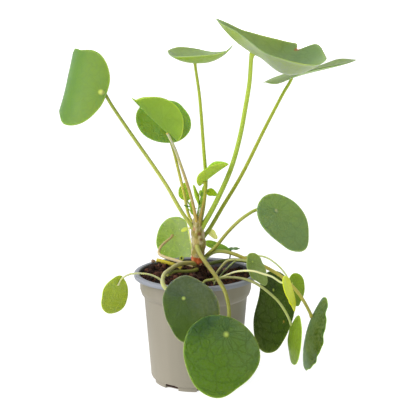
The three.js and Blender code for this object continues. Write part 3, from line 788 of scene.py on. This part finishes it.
def leaf_skin(name, lit, deep, sweep=0, spread=30, vein=None, veins=0.3, net=0.3, spot="C4DC66",
              spot_size=1.0, rim_share=0.4, roughness=0.42, shine=0.2, quilt=0.5, speck=0.0,
              blemish=(0, 0, 0, "7A3A1E")):
    """Skin for one side of a blade, from lit towards the sweep angle to deep on the far side: a
    painted gradient of light, shade and sheen.

    blemish is the place, radius and colour of one dead patch; a radius of 0 leaves it out.
    """
    skin = blank_skin.copy()
    skin.name = name
    lit, deep = colour(lit), colour(deep)
    angle = math.radians(sweep)
    spot_radius = SPOT_RADIUS * spot_size
    blemish_x, blemish_y, blemish_radius, blemish_colour = blemish
    values = {
        "skin": {"Roughness": roughness, "Specular IOR Level": shine},
        "painted_light_toward": {1: (math.sin(angle) / spread, math.cos(angle) / spread, 0)},
        "tone_and_painted_light": {6: deep, 7: lit},
        "main": {3: veins},
        "loops": {3: net},
        "net": {3: net * 0.35},
        "vein": {7: colour(vein) if vein else [0.6 * part for part in deep]},
        "mottle": {7: [0.8 * part for part in deep[:3]] + [1.0]},
        "specks": {4: speck},
        "rim_share": {4: rim_share},
        "rim": {7: [1.5 * part for part in lit]},
        "blemish_at": {1: (blemish_x, blemish_y, 0)},
        "blemish_share": {1: 0.8 + 0.4 * blemish_radius, 2: 0.81 + blemish_radius,
                          3: 0.9 if blemish_radius else 0.0},
        "blemish": {7: colour(blemish_colour)},
        "spot_share": {1: spot_radius * 0.2, 2: spot_radius * 1.6},
        "spot": {7: colour(spot)},
        "quilt": {1: -quilt},
    }
    for label, sockets in values.items():
        for socket, value in sockets.items():
            skin.node_tree.nodes[label].inputs[socket].default_value = value
    return skin


# Petioles ----------------------------------------------------------------------------------
# Round, firm, slightly translucent stalks, thicker where they leave the stem and flared where
# they join the blade from below.

STALK_STEPS = 64
STALK_ROUND = 3
FLARES = (2.5, 1.6)  # reach of the flare at the root and at the tip, in girths
SUNK_IN_BLADE = 0.3


def trace(points, steps):
    """Evenly numbered points on a smooth centripetal curve through the given ones."""
    knots = [Vector(point) for point in points]
    knots = [2 * knots[0] - knots[1], *knots, 2 * knots[-1] - knots[-2]]
    path = []
    spans = len(knots) - 3
    for k in range(steps + 1):
        at = min(k / steps * spans, spans - 1e-9)
        a, b, c, d = knots[int(at) : int(at) + 4]
        t0 = 0
        t1 = t0 + (b - a).length ** 0.5
        t2 = t1 + (c - b).length ** 0.5
        t3 = t2 + (d - c).length ** 0.5
        t = t1 + (at - int(at)) * (t2 - t1)
        ab = a.lerp(b, (t - t0) / (t1 - t0))
        bc = b.lerp(c, (t - t1) / (t2 - t1))
        cd = c.lerp(d, (t - t2) / (t3 - t2))
        abc = ab.lerp(bc, (t - t0) / (t2 - t0))
        bcd = bc.lerp(cd, (t - t1) / (t3 - t1))
        path.append(abc.lerp(bcd, (t - t1) / (t2 - t1)))
    return path


def stalk(name, points, girth, material, root_flare=0.35, tip_flare=0.45, steps=STALK_STEPS):
    """A tapering round stalk along a route, with the share of its length kept as an attribute."""
    path = trace(points, steps)
    lengths = [0.0]
    for here, there in zip(path, path[1:]):
        lengths.append(lengths[-1] + (there - here).length)
    line = bpy.data.curves.new(name, "CURVE")
    line.dimensions = "3D"
    line.bevel_depth = MM
    line.bevel_resolution = STALK_ROUND
    line.use_fill_caps = True
    spline = line.splines.new("POLY")
    spline.points.add(len(path) - 1)
    for point, place, along in zip(spline.points, path, lengths):
        share = along / lengths[-1]
        radius = girth[0] + (girth[1] - girth[0]) * share
        radius *= 1 + root_flare * math.exp(-((along / (FLARES[0] * girth[0])) ** 2))
        to_tip = (lengths[-1] - along) / (FLARES[1] * girth[1])
        radius *= 1 + tip_flare * math.exp(-(to_tip**2))
        point.co = (*(place * MM), 1)
        point.radius = radius
    piece = bpy.data.objects.new(name, line)
    bpy.context.collection.objects.link(piece)
    pick(piece)
    bpy.ops.object.convert(target="MESH")
    piece = bpy.context.object
    count = len(piece.data.vertices)
    ring = count // len(path)
    shares = [lengths[min(k // ring, steps)] / lengths[-1] for k in range(count)]
    piece.data.attributes.new("along", "FLOAT", "POINT").data.foreach_set("value", shares)
    outward(piece)
    piece.data.materials.clear()
    piece.data.materials.append(material)
    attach(piece, "root")
    return piece


# Stalk rind: satin and juicy, clouded at 9 mm, with fine pale dots drawn 1 mm wide to show.
blank_rind, tree, shader = new_material("blank_stalk_skin", {
    "IOR": 1.45, "Specular IOR Level": 0.3, "Subsurface Weight": 0.6,
    "Subsurface Radius": (1.0, 1.0, 0.3), "Subsurface Scale": 2 * MM,
})
shader.name = "skin"
along = add(tree, "Attribute", attribute_name="along").outputs["Fac"]
place = add(tree, "TexCoord").outputs["Object"]
cloud = add(tree, "TexNoise", {"Vector": place, "Scale": 110, "Detail": 2})
dots = add(tree, "TexNoise", {"Vector": place, "Scale": 1100, "Detail": 2})
drift = add(tree, "Math", [cloud, 0.24, along], operation="MULTIPLY_ADD")
lower = add(tree, "MapRange", [drift, 0.12, 0.5])
upper = add(tree, "MapRange", [drift, 0.6, 1.12])
first = add(tree, "Mix", [lower], "root")
second = add(tree, "Mix", [upper, first], "tip")
on_dot = add(tree, "MapRange", [dots, 0.35, 0.75, 0.0, 0.18])
dotted = add(tree, "Mix", [on_dot, second, "D6D89C"])
tree.links.new(dotted.outputs[2], shader.inputs["Base Color"])
bump = add(tree, "Bump", {"Height": dots, "Strength": 0.2, "Distance": 0.2 * MM})
tree.links.new(bump.outputs[0], shader.inputs["Normal"])


def stalk_skin(name, root, middle, tip, roughness=0.4):
    """Skin of a petiole: three colours along it, with fine pale dots."""
    skin = blank_rind.copy()
    skin.name = name
    nodes = skin.node_tree.nodes
    nodes["skin"].inputs["Roughness"].default_value = roughness
    nodes["root"].inputs[6].default_value = colour(root)
    nodes["root"].inputs[7].default_value = colour(middle)
    nodes["tip"].inputs[7].default_value = colour(tip)
    return skin


def grow_leaf(name, upper, under, route, girth, rind, slot="leaf",
              stalk_slot="green_stalk", neck=3, **shape):
    """One leaf: its blade with both skins and its petiole, whose neck stands square under it."""
    skins = leaf_skin(name + "_upper_cuticle", **upper), leaf_skin(name + "_underside", **under)
    piece = blade("leaf_" + name, skins, **shape)
    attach(piece, "root")
    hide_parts("blade_" + name)
    _, _, out = leaf_axes(shape["face"], shape["turn"])
    end = Vector(shape["spot"]) - out * SUNK_IN_BLADE
    bend = [Vector(shape["spot"]) - out * neck] if neck else []
    skin = stalk_skin(name + "_petiole_skin", *rind)
    petiole = stalk("stalk_" + name, [*route, *bend, end], girth, skin)
    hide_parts("petiole_" + name)


# Standing leaves ---------------------------------------------------------------------------
# The oldest petioles of the crown stand up and out and carry the largest blades.

grow_leaf(
    "upper_left", spot=(-86, -20, 283), face=(-48, 15), turn=94, heart=29, cup=(1, -12),
    reach=(38, 42, 39, 34, 40, 37, 33, 34, 38, 37, 33, 41),
    upper=dict(lit="527933", deep="547C4E", sweep=15, spread=26, net=0.25, quilt=0.4,
               spot="DDE97C", spot_size=1.1),
    under=dict(lit="A5C06A", deep="8FAE5A", veins=0.2, net=0.15),
    route=[(-1, -1, 149), (-5, -3, 155.5), (-12, -5, 166), (-18, -6, 176.5), (-28, -8, 195),
           (-63, -16, 249), (-77, -19, 271)],
    girth=(1.95, 1.5), rind=("B9C55A", "C0C861", "8C9D39"),
)
grow_leaf(
    "folded_young", spot=(-26, -6, 244), face=(102, 46), turn=181, heart=18, cup=(3, 1), fold=56,
    reach=(25, 24, 27, 30, 31, 29, 28, 25),
    cuts=[(0, -0.2, 5)],
    upper=dict(lit="8DB63F", deep="78A22A", veins=0.15, net=0.1),
    under=dict(lit="6F9235", deep="86A842", quilt=0.6, spot_size=0.9),
    route=[(2, -2, 150), (0, -4, 163), (-3.5, -5, 180), (-9, -6, 199), (-14, -7, 214),
           (-19, -6, 228)],
    girth=(1.65, 1.3), rind=("CFAF41", "B6A15F", "C5C9A2"), slot="young_leaf",
    stalk_slot="tan_stalk", neck=0,
)
grow_leaf(
    "round_back", spot=(-29, 22, 255), face=(8, 35), turn=0, heart=2, cup=(2, -1),
    reach=(25, 26, 28, 29, 28, 24, 22, 23, 22, 24, 26, 26),
    upper=dict(lit="3D734F", deep="508A49", spread=20, veins=0.5, net=0.6, quilt=1.4),
    under=dict(lit="8DB04A", deep="7FA040", net=0.2),
    route=[(-0.5, 2, 150.5), (-3, 3, 155), (-6, 5, 161), (-8, 6, 167), (-10, 7, 178),
           (-15.5, 12, 201), (-22, 18, 226), (-28, 23, 243)],
    girth=(1.55, 1.3), rind=("CBC969", "C5C156", "90A138"),
)
grow_leaf(
    "top_centre", spot=(0, 0, 310), face=(2, 80), turn=-95, heart=3, cup=(6, 6),
    reach=(32, 33, 32, 31, 31, 31, 29, 31, 31, 31, 32, 33),
    lift=(8, 9, 7, 6, 5, 3, 5, 2, 2, 0, -4, -1),
    upper=dict(lit="778E6A", deep="7C9370", sweep=-75, spread=22),
    under=dict(lit="7C905D", deep="7D9837", veins=0.15, net=0.1, shine=0.06),
    route=[(3.5, 1.5, 154), (6.5, 3, 165), (9, 3, 183), (10, 3, 196), (8, 2, 226), (4, 1, 278)],
    girth=(2, 1.3), rind=("99B227", "ADC12A", "ABB93D"),
)
grow_leaf(
    "top_large", spot=(54, 0, 318), face=(70, 64), turn=-13, heart=11, cup=(4, 3),
    reach=(53, 52, 51, 50, 48, 45, 46, 52, 56, 50, 44, 43, 43, 50, 56, 54),
    lift=(15, 11, 8, 5, 3, 7, 9, 6, 4, 4, 3, 4, 7, 8, 16, 15.5),
    sags=[(30, 7, 4), (112, -3, 6)], cuts=[(304, 0.18, 4.5)],
    upper=dict(lit="688355", deep="6D8A5E", sweep=-30, spread=39, veins=0.35, net=0.35, quilt=0.6,
               blemish=(-37, 36, 3.5, "8A4632")),
    under=dict(lit="7C897F", deep="91A75E", veins=0.35, net=0.35, quilt=0.6, spot_size=1.4),
    route=[(4, 0, 149), (11, 0, 160), (20, 0, 177), (34, 1, 209), (42, 1, 238), (47, 1, 265),
           (51, 1, 291)],
    girth=(2.6, 2), rind=("ADC735", "A0B933", "C2D850"),
)
grow_leaf(
    "top_right", spot=(93, 45, 294), face=(-78, 77), turn=180, heart=19, cup=(1, 0),
    reach=(48, 46, 43, 42, 43, 46, 46, 46, 43, 42, 43, 46),
    lift=(0, 1, 2, 3, 3, -2, 0, -3, -4, -4, -5, 1),
    upper=dict(lit="476215", deep="6A8828", spread=31),
    under=dict(lit="7E9E54", deep="8CA868", veins=0.25, net=0.15),
    route=[(4, 1, 138), (12, 4, 147), (26, 8, 170), (44, 16, 199), (68, 30, 245), (85, 41, 276)],
    girth=(2, 1.55), rind=("8FA02E", "AFB834", "B8C845"),
)
grow_leaf(
    "right_middle", spot=(77, -5, 169), face=(38, 28), turn=-30, heart=12, cup=(-2, -2),
    reach=(36, 31, 25, 25, 28, 31, 30, 28, 26, 28, 30, 32),
    upper=dict(lit="65885E", deep="587961", sweep=-120, spread=21, veins=0.45, quilt=0.8,
               spot="DCEB9A", spot_size=0.85),
    under=dict(lit="9DB86A", deep="8AA85A", veins=0.2, net=0.2),
    route=[(5, -1, 119), (9, -1, 122.5), (13, -3, 127), (18, -5, 132), (31, -9, 149),
           (41, -10, 159.5), (49, -9, 165.5), (58, -4, 169.5), (67, 0, 170)],
    girth=(1.75, 1.55), rind=("8F942F", "999A3C", "BCCB69"),
)

# Hanging leaves ----------------------------------------------------------------------------
# Older leaves from low on the trunk, and plantlets that come up through the soil: their
# petioles arch over the rim and let the blades hang in front of the pot.

grow_leaf(
    "back_left", spot=(-25, 70, 128), face=(170, 15), turn=0, heart=4,
    reach=(27, 30, 22, 19, 20, 27, 25, 20, 17, 17, 20, 24),
    upper=dict(lit="6E9A3C", deep="5E8A34"),
    under=dict(lit="4C7827", deep="859D87", sweep=-75, spread=17, vein="9CC062", veins=0.25,
               net=0.3, spot="A9B86C", spot_size=0.8, speck=0.55),
    route=[(0, 1, 113), (-8, 9, 113), (-19, 22, 113), (-33, 40, 113), (-38, 50, 114),
           (-36, 60, 119)],
    girth=(1.9, 1.2), rind=("B09870", "C2AF8A", "BFA878"), stalk_slot="tan_stalk",
)
grow_leaf(
    "left_small", spot=(-74, -22, 101), face=(-140, 20), turn=0, heart=11,
    reach=(23, 24, 18, 15, 14, 16, 21, 20, 18, 16, 17, 20),
    upper=dict(lit="8FAE36", deep="7E9C2C"),
    under=dict(lit="708537", deep="899F5D", veins=0.5, net=0.5, quilt=1.0, spot="DCE69A",
               spot_size=0.7),
    route=[(-27, -22, 94), (-32, -22, 104), (-41, -20, 109), (-53, -20, 111), (-63, -22, 110.5),
           (-70, -25, 107)],
    girth=(1.05, 0.8), rind=("B4BA72", "CDD19A", "D8DCA8"), slot="young_leaf", neck=1,
)
grow_leaf(
    "front_dark", spot=(-10, -74, 102), face=(-6, 22), turn=0, heart=9, cup=(-2, -2),
    reach=(30, 21, 18, 18, 22, 26, 30, 29, 31, 33, 34, 33),
    upper=dict(lit="3C4A50", deep="293B20", sweep=-135, spread=21, veins=0.35, net=0.25,
               quilt=0.8, spot_size=0.8),
    under=dict(lit="8DA860", deep="7E9A52", veins=0.25, net=0.2),
    route=[(0, -2, 116), (-5, -9, 118.5), (-14, -18, 120), (-23, -34, 119), (-29, -52, 117),
           (-29, -62, 112), (-22, -67, 105)],
    girth=(2.1, 1.9), rind=("B4A65C", "B3AC72", "B7C382"), slot="dark_leaf",
)
grow_leaf(
    "front_large", spot=(28, -92, 74), face=(4, 20), turn=8, heart=18, cup=(-2, -2),
    reach=(38.5, 38, 35, 36, 38, 37, 34, 32, 32, 33, 31.5, 32),
    upper=dict(lit="2F5314", deep="3C5B4C", sweep=45, spread=25, vein="1B3312", veins=0.8,
               net=0.5, quilt=2.6, spot_size=1.15),
    under=dict(lit="93AE62", deep="84A055", veins=0.25, net=0.2),
    route=[(1, -3, 136.5), (3, -11, 131), (10, -26, 123), (21, -56, 115), (28, -73, 106),
           (31, -80, 91), (30, -84, 80)],
    girth=(2.25, 1.6), rind=("A9AB51", "887E36", "838D2B"),
)
grow_leaf(
    "right_inner", spot=(54, -22, 123), face=(35, 25), turn=-20, heart=6,
    reach=(20, 14, 12, 10, 10, 11, 14, 14, 12, 10, 11, 14),
    upper=dict(lit="819570", deep="78954D", sweep=-15, spread=12, veins=0.4, net=0.35,
               spot_size=0.5),
    under=dict(lit="93AE62", deep="84A055", veins=0.25, net=0.2),
    route=[(17, -6, 95), (18.5, -6, 104), (22, -7, 110), (25.5, -8, 115), (29.5, -9, 119.8),
           (32.5, -10, 121.5), (41, -14, 122.8), (49, -19, 123)],
    girth=(1.4, 1.25), rind=("868739", "A8A56A", "919A50"), stalk_slot="tan_stalk",
)
grow_leaf(
    "right_dark", spot=(76, 8, 87), face=(52, 15), turn=18, heart=17,
    reach=(43.5, 48, 37, 27, 25, 33, 36, 39, 38, 36, 32, 35),
    upper=dict(lit="354332", deep="2C430D", sweep=90, spread=28, vein="12200A", veins=0.75,
               net=0.6, quilt=1.2, spot_size=0.7, blemish=(-16, 30, 1.6, "8A6A3A"), speck=0.08,
               shine=0.06, roughness=0.5),
    under=dict(lit="6C8A48", deep="5F7F3E", veins=0.25, net=0.2),
    route=[(2, 0, 112), (7, -1, 113.5), (14, 2, 115.2), (29, 8, 116.6), (40, 11, 116.5),
           (52, 13, 113.5), (65, 14, 104), (72, 14, 93)],
    girth=(2.0, 1.7), rind=("5F6B2C", "5B6838", "5C6A30"), slot="dark_leaf",
)
grow_leaf(
    "yellow_narrow", spot=(84, -36, 107), face=(76, 17), turn=-7, heart=14, cup=(2, 0),
    reach=(17, 10, 9, 10, 14, 20, 19, 19, 20, 19, 18, 19),
    upper=dict(lit="D2E42C", deep="BBD11B", sweep=-75, spread=12, vein="A0B832", veins=0.2,
               net=0.15, spot_size=0.5, shine=0.06),
    under=dict(lit="C8D86A", deep="B9CC50", veins=0.2, net=0.1),
    route=[(14, -20, 93), (20, -20, 104), (28, -22, 109), (39, -25, 114), (54, -34, 117),
           (63, -36, 115), (72, -36, 112)],
    girth=(1.05, 0.95), rind=("A6AC5A", "E5E3AD", "E6EAB6"), slot="young_leaf",
)
grow_leaf(
    "right_back", spot=(94, 0, 96), face=(50, 20), turn=0, heart=8,
    reach=(15, 14, 11, 9, 9, 11, 15, 19, 21, 18, 14, 13),
    upper=dict(lit="7FA31D", deep="789B1F", sweep=-60, spread=13, veins=0.4, net=0.5, quilt=1.2,
               spot_size=0.5),
    under=dict(lit="93AE52", deep="84A045", veins=0.2, net=0.1),
    route=[(21, -9, 97), (24, -7, 105), (30.5, 0, 110.7), (37.5, 8, 115.2), (45.5, 14, 117.8),
           (54, 19, 118.6), (68, 15, 118.6), (80, 9, 112), (89, 4, 102)],
    girth=(0.9, 0.85), rind=("47602A", "C3CE8C", "DDE8AE"),
)
grow_leaf(
    "right_pale", spot=(91, -40, 66), face=(100, -4), turn=21, heart=14, cup=(6, 5),
    reach=(23, 23, 23, 23, 26, 26, 15, 14, 15, 18, 20, 22),
    upper=dict(lit="8AAE40", deep="789C30", net=0.25),
    under=dict(lit="6A8529", deep="6D892D", veins=0.5, net=0.5, quilt=1.0, spot_size=0.7),
    route=[(5, -20, 95), (9, -22, 103.8), (15, -23, 105.6), (23.5, -26, 108), (33, -30, 109.8),
           (47, -35, 109.3), (56, -38, 106.5), (66, -39, 100), (78, -40, 89), (86, -41, 77)],
    girth=(1.4, 1.2), rind=("8E9636", "979860", "B9C678"), slot="young_leaf", neck=0,
)
grow_leaf(
    "right_outer", spot=(113, -12, 65), face=(95, -15), turn=6, heart=16, cup=(1, 5), fold=18,
    scallop=(0.5, 17), ruffle=(0.7, 9, 1),
    reach=(35, 32, 31, 31, 38, 24, 24, 26),
    upper=dict(lit="5A8A2C", deep="4C7A20", veins=0.4),
    under=dict(lit="204120", deep="708A70", sweep=105, spread=24, veins=0.5, net=0.5, quilt=1.0,
               spot_size=0.5, shine=0.08),
    route=[(5, -1, 117), (10, -1, 122), (14.5, -2, 126), (19, -3, 128.3), (26, -3, 128.6),
           (37, -3, 126), (48, -4, 121.5), (66, -4, 114), (84, -6, 103.5), (99, -9, 89),
           (108, -11, 75)],
    girth=(1.9, 1.55), rind=("B2CB77", "BAAD4E", "C8C35E"), stalk_slot="tan_stalk",
    neck=0,
)
grow_leaf(
    "behind_trunk", spot=(18, 40, 124), face=(81, 70), turn=0, heart=3, cup=(2, 1),
    reach=(16, 14, 13, 14, 14, 15, 16, 15),
    upper=dict(lit="80A00D", deep="658B1D", sweep=-165, spread=12,
               spot_size=0.5, shine=0.05, roughness=0.6),
    under=dict(lit="93AE52", deep="84A045", veins=0.2, net=0.1),
    route=[(4, 3, 118), (8, 10, 119), (12, 20, 119), (16, 33, 120)],
    girth=(1.2, 0.95), rind=("91B054", "99B558", "9DB452"),
)

# Crown -------------------------------------------------------------------------------------
# The growing tip: small leaves still rolled or cupped on short soft stalks, and one half open
# blade on a reddish stalk that stands above them.

grow_leaf(
    "rolled_young", spot=(9, -4, 197), face=(-94, 51), turn=194, heart=11, cup=(2, -2), fold=60,
    reach=(19, 16, 13, 17, 18, 12, 13, 15),
    upper=dict(lit="86B534", deep="75A428", veins=0.4, spot_size=0.5),
    under=dict(lit="9AB44C", deep="97B248", sweep=90, spread=8, veins=0.45, quilt=1.0,
               spot_size=0.5),
    route=[(3.5, -2, 152), (5.5, -4, 165), (8, -5, 177), (9.5, -5, 190)],
    girth=(1.6, 1.5), rind=("AA923E", "99882F", "A1AD27"), slot="young_leaf",
    stalk_slot="tan_stalk", neck=0,
)

CROWN_FOOT = (1.4, 0.8, 157)
CREASED_LEAF = 1
ELONGATED = (11.5, 6, 4.1, 3.7, 3.5, 3.7, 4.1, 5.5, 11, 5.5, 4.1, 3.7, 3.5, 3.7, 4.1, 6)
CROWN_LEAVES = [  # shape, whether it is a young leaf or a papery stipule, and its stalk's girth
    (dict(spot=(-11, 12, 179), face=(-18, 18), turn=180, heart=5, cup=(2, 0), fold=14,
          reach=(9.2, 5.5, 5, 9.5, 8, 7.2, 6.5, 7.4)), "young", (0.9, 0.7)),
    (dict(spot=(3.8, 1, 173), face=(168, 2), turn=196, heart=9.5, cup=(0, 0.5), fold=50,
          reach=ELONGATED), "young", (1.1, 0.9)),
    (dict(spot=(5.8, 0, 174), face=(-10, 12), turn=186, heart=9, cup=(3, 0),
          reach=(10, 4.5, 2.8, 2.4, 2.2, 2.4, 3, 4.5, 10, 4.5, 2.8, 2.4, 2.2, 2.4, 3, 4.5)),
          "young", (1.0, 0.8)),
    (dict(spot=(5.5, 2, 182), face=(-20, 20), turn=165, heart=2,
          reach=(4, 2.4, 1.8, 2, 3, 2, 1.8, 2.4)), "young", (0.6, 0.5)),
    (dict(spot=(12, 8, 186.5), face=(-6, 22), turn=-62, heart=4, cup=(2, 1),
          reach=(6, 3.8, 4.2, 5.2, 5, 4.2, 3.6, 3.8)), "young", (0.7, 0.6)),
    (dict(spot=(-2.8, -1, 167), face=(-12, 13), turn=172, heart=4.5, cup=(3, 0),
          reach=(6.8, 3.4, 2.3, 2.8, 7, 3, 2.2, 3.3)), "young", (0.8, 0.6)),
    (dict(spot=(-11, 5, 172.5), face=(103, 73), turn=13, heart=6,
          reach=(7, 4, 3, 3.5, 6, 4, 3, 4)), "young", (0.6, 0.5)),
    (dict(spot=(-7.7, -2, 151.5), face=(-10, 20), turn=60, heart=3, cup=(2, 0),
          reach=(3.8, 2.4, 1.9, 2, 3.2, 2, 1.9, 2.4)), "stipule", (0.7, 0.5)),
    (dict(spot=(14, 4, 147), face=(10, 16), turn=-40, heart=3.6, cup=(1, 1),
          reach=(6.6, 3.6, 3.2, 4.2, 4.6, 4.4, 3.4, 3.6)), "stipule", (0.5, 0.4)),
    (dict(spot=(-0.6, -4.5, 160), face=(-10, 10), turn=176, heart=2.5,
          reach=(3.6, 1.6, 1.1, 1.5, 3, 1.5, 1.1, 1.6)), "stipule", (0.6, 0.5)),
    (dict(spot=(4.1, -3.4, 164), face=(0, 8), turn=184, heart=3,
          reach=(4.4, 1.8, 1.2, 1.6, 4, 1.6, 1.2, 1.8)), "stipule", (0.6, 0.5)),
]
# these colours hold painted shade as well as each young leaf's own tone
YOUNG_COLOURS = [
    ("5E8D30", "4C7E27"), ("34591A", "3C6419"), ("77A43E", "6A9934"), ("5B963E", "508A32"),
    ("568F34", "47832D"), ("7D9F27", "6C9021"), ("4C7524", "41691F"),
]
STIPULE_COLOURS = [
    ("B5C858", "A8BE52"), ("DDE5A0", "D2DC92"), ("F0E2CC", "E6D2B4"), ("EDE6C6", "E0D4AC"),
]
SOFT_STALKS = {
    "young": ("B99A60", "9DC04C", "8CB844"), "stipule": ("D8C88A", "D5D88C", "D0DA84"),
}
SOFT_THICKNESS = 0.6
FOOT_BELOW_LEAF = 3
SOFT_BEND = (0.45, 0.6)  # where a soft stalk bends: share of the way out and of the way up
SMALL_SKIN = dict(spread=9, net=0.1, spot_size=0.2, rim_share=0.6)

soft_skins = {
    kind: stalk_skin(kind + "_stalk_skin", *tones) for kind, tones in SOFT_STALKS.items()
}
for k, (shape, kind, girth) in enumerate(CROWN_LEAVES):
    lit, deep = (YOUNG_COLOURS + STIPULE_COLOURS)[k]
    upper = leaf_skin(f"{kind}_{k}_upper", lit, deep, veins=0.3, roughness=0.4, **SMALL_SKIN)
    # the creased leaf's outer side is painted light on one half of its crease and shade on the
    # other
    if k == CREASED_LEAF:
        under = leaf_skin("young_1_outside", "9ACB4C", "3F6A20", sweep=90, spread=1.5, veins=0.2,
                          net=0.1, spot_size=0.2)
    else:
        under = leaf_skin(f"{kind}_{k}_underside", lit, deep, veins=0.2, roughness=0.55,
                          **SMALL_SKIN)
    leaf = blade(f"{kind}_leaf_{k}", (upper, under), **shape, thickness=SOFT_THICKNESS,
                 ruffle=(0.12, 4, k))
    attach(leaf, "root")
    foot, spot = Vector(CROWN_FOOT), Vector(shape["spot"])
    foot.z = min(foot.z, spot.z - FOOT_BELOW_LEAF)
    bend = foot.lerp(spot, SOFT_BEND[0])
    bend.z = foot.z + SOFT_BEND[1] * (spot.z - foot.z)
    soft = stalk(f"{kind}_stalk_{k}", [foot, bend, spot], girth, soft_skins[kind], steps=16)
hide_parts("crown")

ribbon = stalk(
    "stipule_ribbon",
    [(-4, -2.5, 154), (-6.3, -4, 150.5), (-5.8, -5, 144), (-4.6, -5.8, 138), (-3.6, -6, 132)],
    (0.7, 0.5), soft_skins["stipule"], root_flare=0, steps=24,
)

# Plantlet and old stalk --------------------------------------------------------------------
# A seedling with one thin dark leaf stands in the soil at the back, and a cut petiole, gone
# yellow, lies on the peat.

SEEDLING_TOP = (34.8, 24, 125)

seedling_skin = stalk_skin("seedling_stalk_skin", "3E3A24", "473B26", "4E5A2A")
sprout = stalk(
    "seedling_stalk", [(32, 19, 94), (32.8, 20, 113), (33.8, 22, 117), SEEDLING_TOP],
    (0.75, 0.7), seedling_skin, steps=24,
)
sprout_leaf = blade(
    "seedling_leaf",
    (leaf_skin("seedling_leaf_upper", "4C7A2A", "3E6A22", spread=9, spot_size=0.25),
     leaf_skin("seedling_leaf_underside", "5A8634", "4C7A2A", spread=9, spot_size=0.25)),
    spot=SEEDLING_TOP, face=(0, 88), turn=-90, heart=2.5,
    reach=(6.5, 5, 4.2, 4.6, 5.8, 4.6, 4.2, 5), thickness=0.7,
)
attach(sprout_leaf, "root")
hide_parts("seedling")

yellowed = stalk_skin("yellowed_stalk_skin", "DDCB3E", "D6C637", "B9AE3A", roughness=0.5)
cut_stalk = stalk(
    "cut_stalk",
    [(-39.5, 32, 111.2), (-33.5, 31, 110), (-26.5, 30, 108.2), (-18.5, 28.5, 106),
     (-14.5, 27, 104)],
    (2.0, 2.1), yellowed, root_flare=0, tip_flare=0, steps=32,
)
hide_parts("old_stalk")

# Stubs -------------------------------------------------------------------------------------
# What older leaves have left: an olive petiole low on the trunk, and a stub at the back of the
# pot whose cut end shows a pale ring round a dark core.

STUB_END = (-14.6, 39, 111.5)
STUB_TILT = 70
STUB_RING = (1.7, 0.75)  # radius of the ring and of its rind

olive_skin = stalk_skin("olive_stub_skin", "A7A34A", "8F9440", "7D8438")
olive_stub = stalk(
    "olive_stub",
    [(2, -4, 111), (-3, -12, 111.6), (-9, -18, 112.5), (-19, -28, 115), (-26, -40, 114.5)],
    (1.7, 1.5), olive_skin, tip_flare=0, steps=32,
)
core_skin = stalk_skin("dark_stub_skin", "4A4526", "3D3A20", "34301C")
core = stalk(
    "back_stub", [(-14, 47, 99), (-14.5, 44, 105), STUB_END], (1.7, 1.5), core_skin,
    root_flare=0, tip_flare=0, steps=16,
)
bpy.ops.object.select_all(action="DESELECT")
bpy.ops.mesh.primitive_torus_add(
    major_segments=32, minor_segments=12, major_radius=STUB_RING[0] * MM,
    minor_radius=STUB_RING[1] * MM, location=[value * MM for value in STUB_END],
    rotation=(math.radians(STUB_TILT), 0, 0),
)
cut_ring = bpy.context.object
cut_ring.name = "back_stub_ring"
ring_skin = stalk_skin("pale_cut_ring", "B9C84A", "B9C84A", "B9C84A")
settle(cut_ring, ring_skin)
bpy.ops.object.shade_smooth()
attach(cut_ring, "root")

# the blanks that blades and skins were copied from
bpy.data.objects.remove(blank)
bpy.data.materials.remove(blank_skin)
bpy.data.materials.remove(blank_rind)
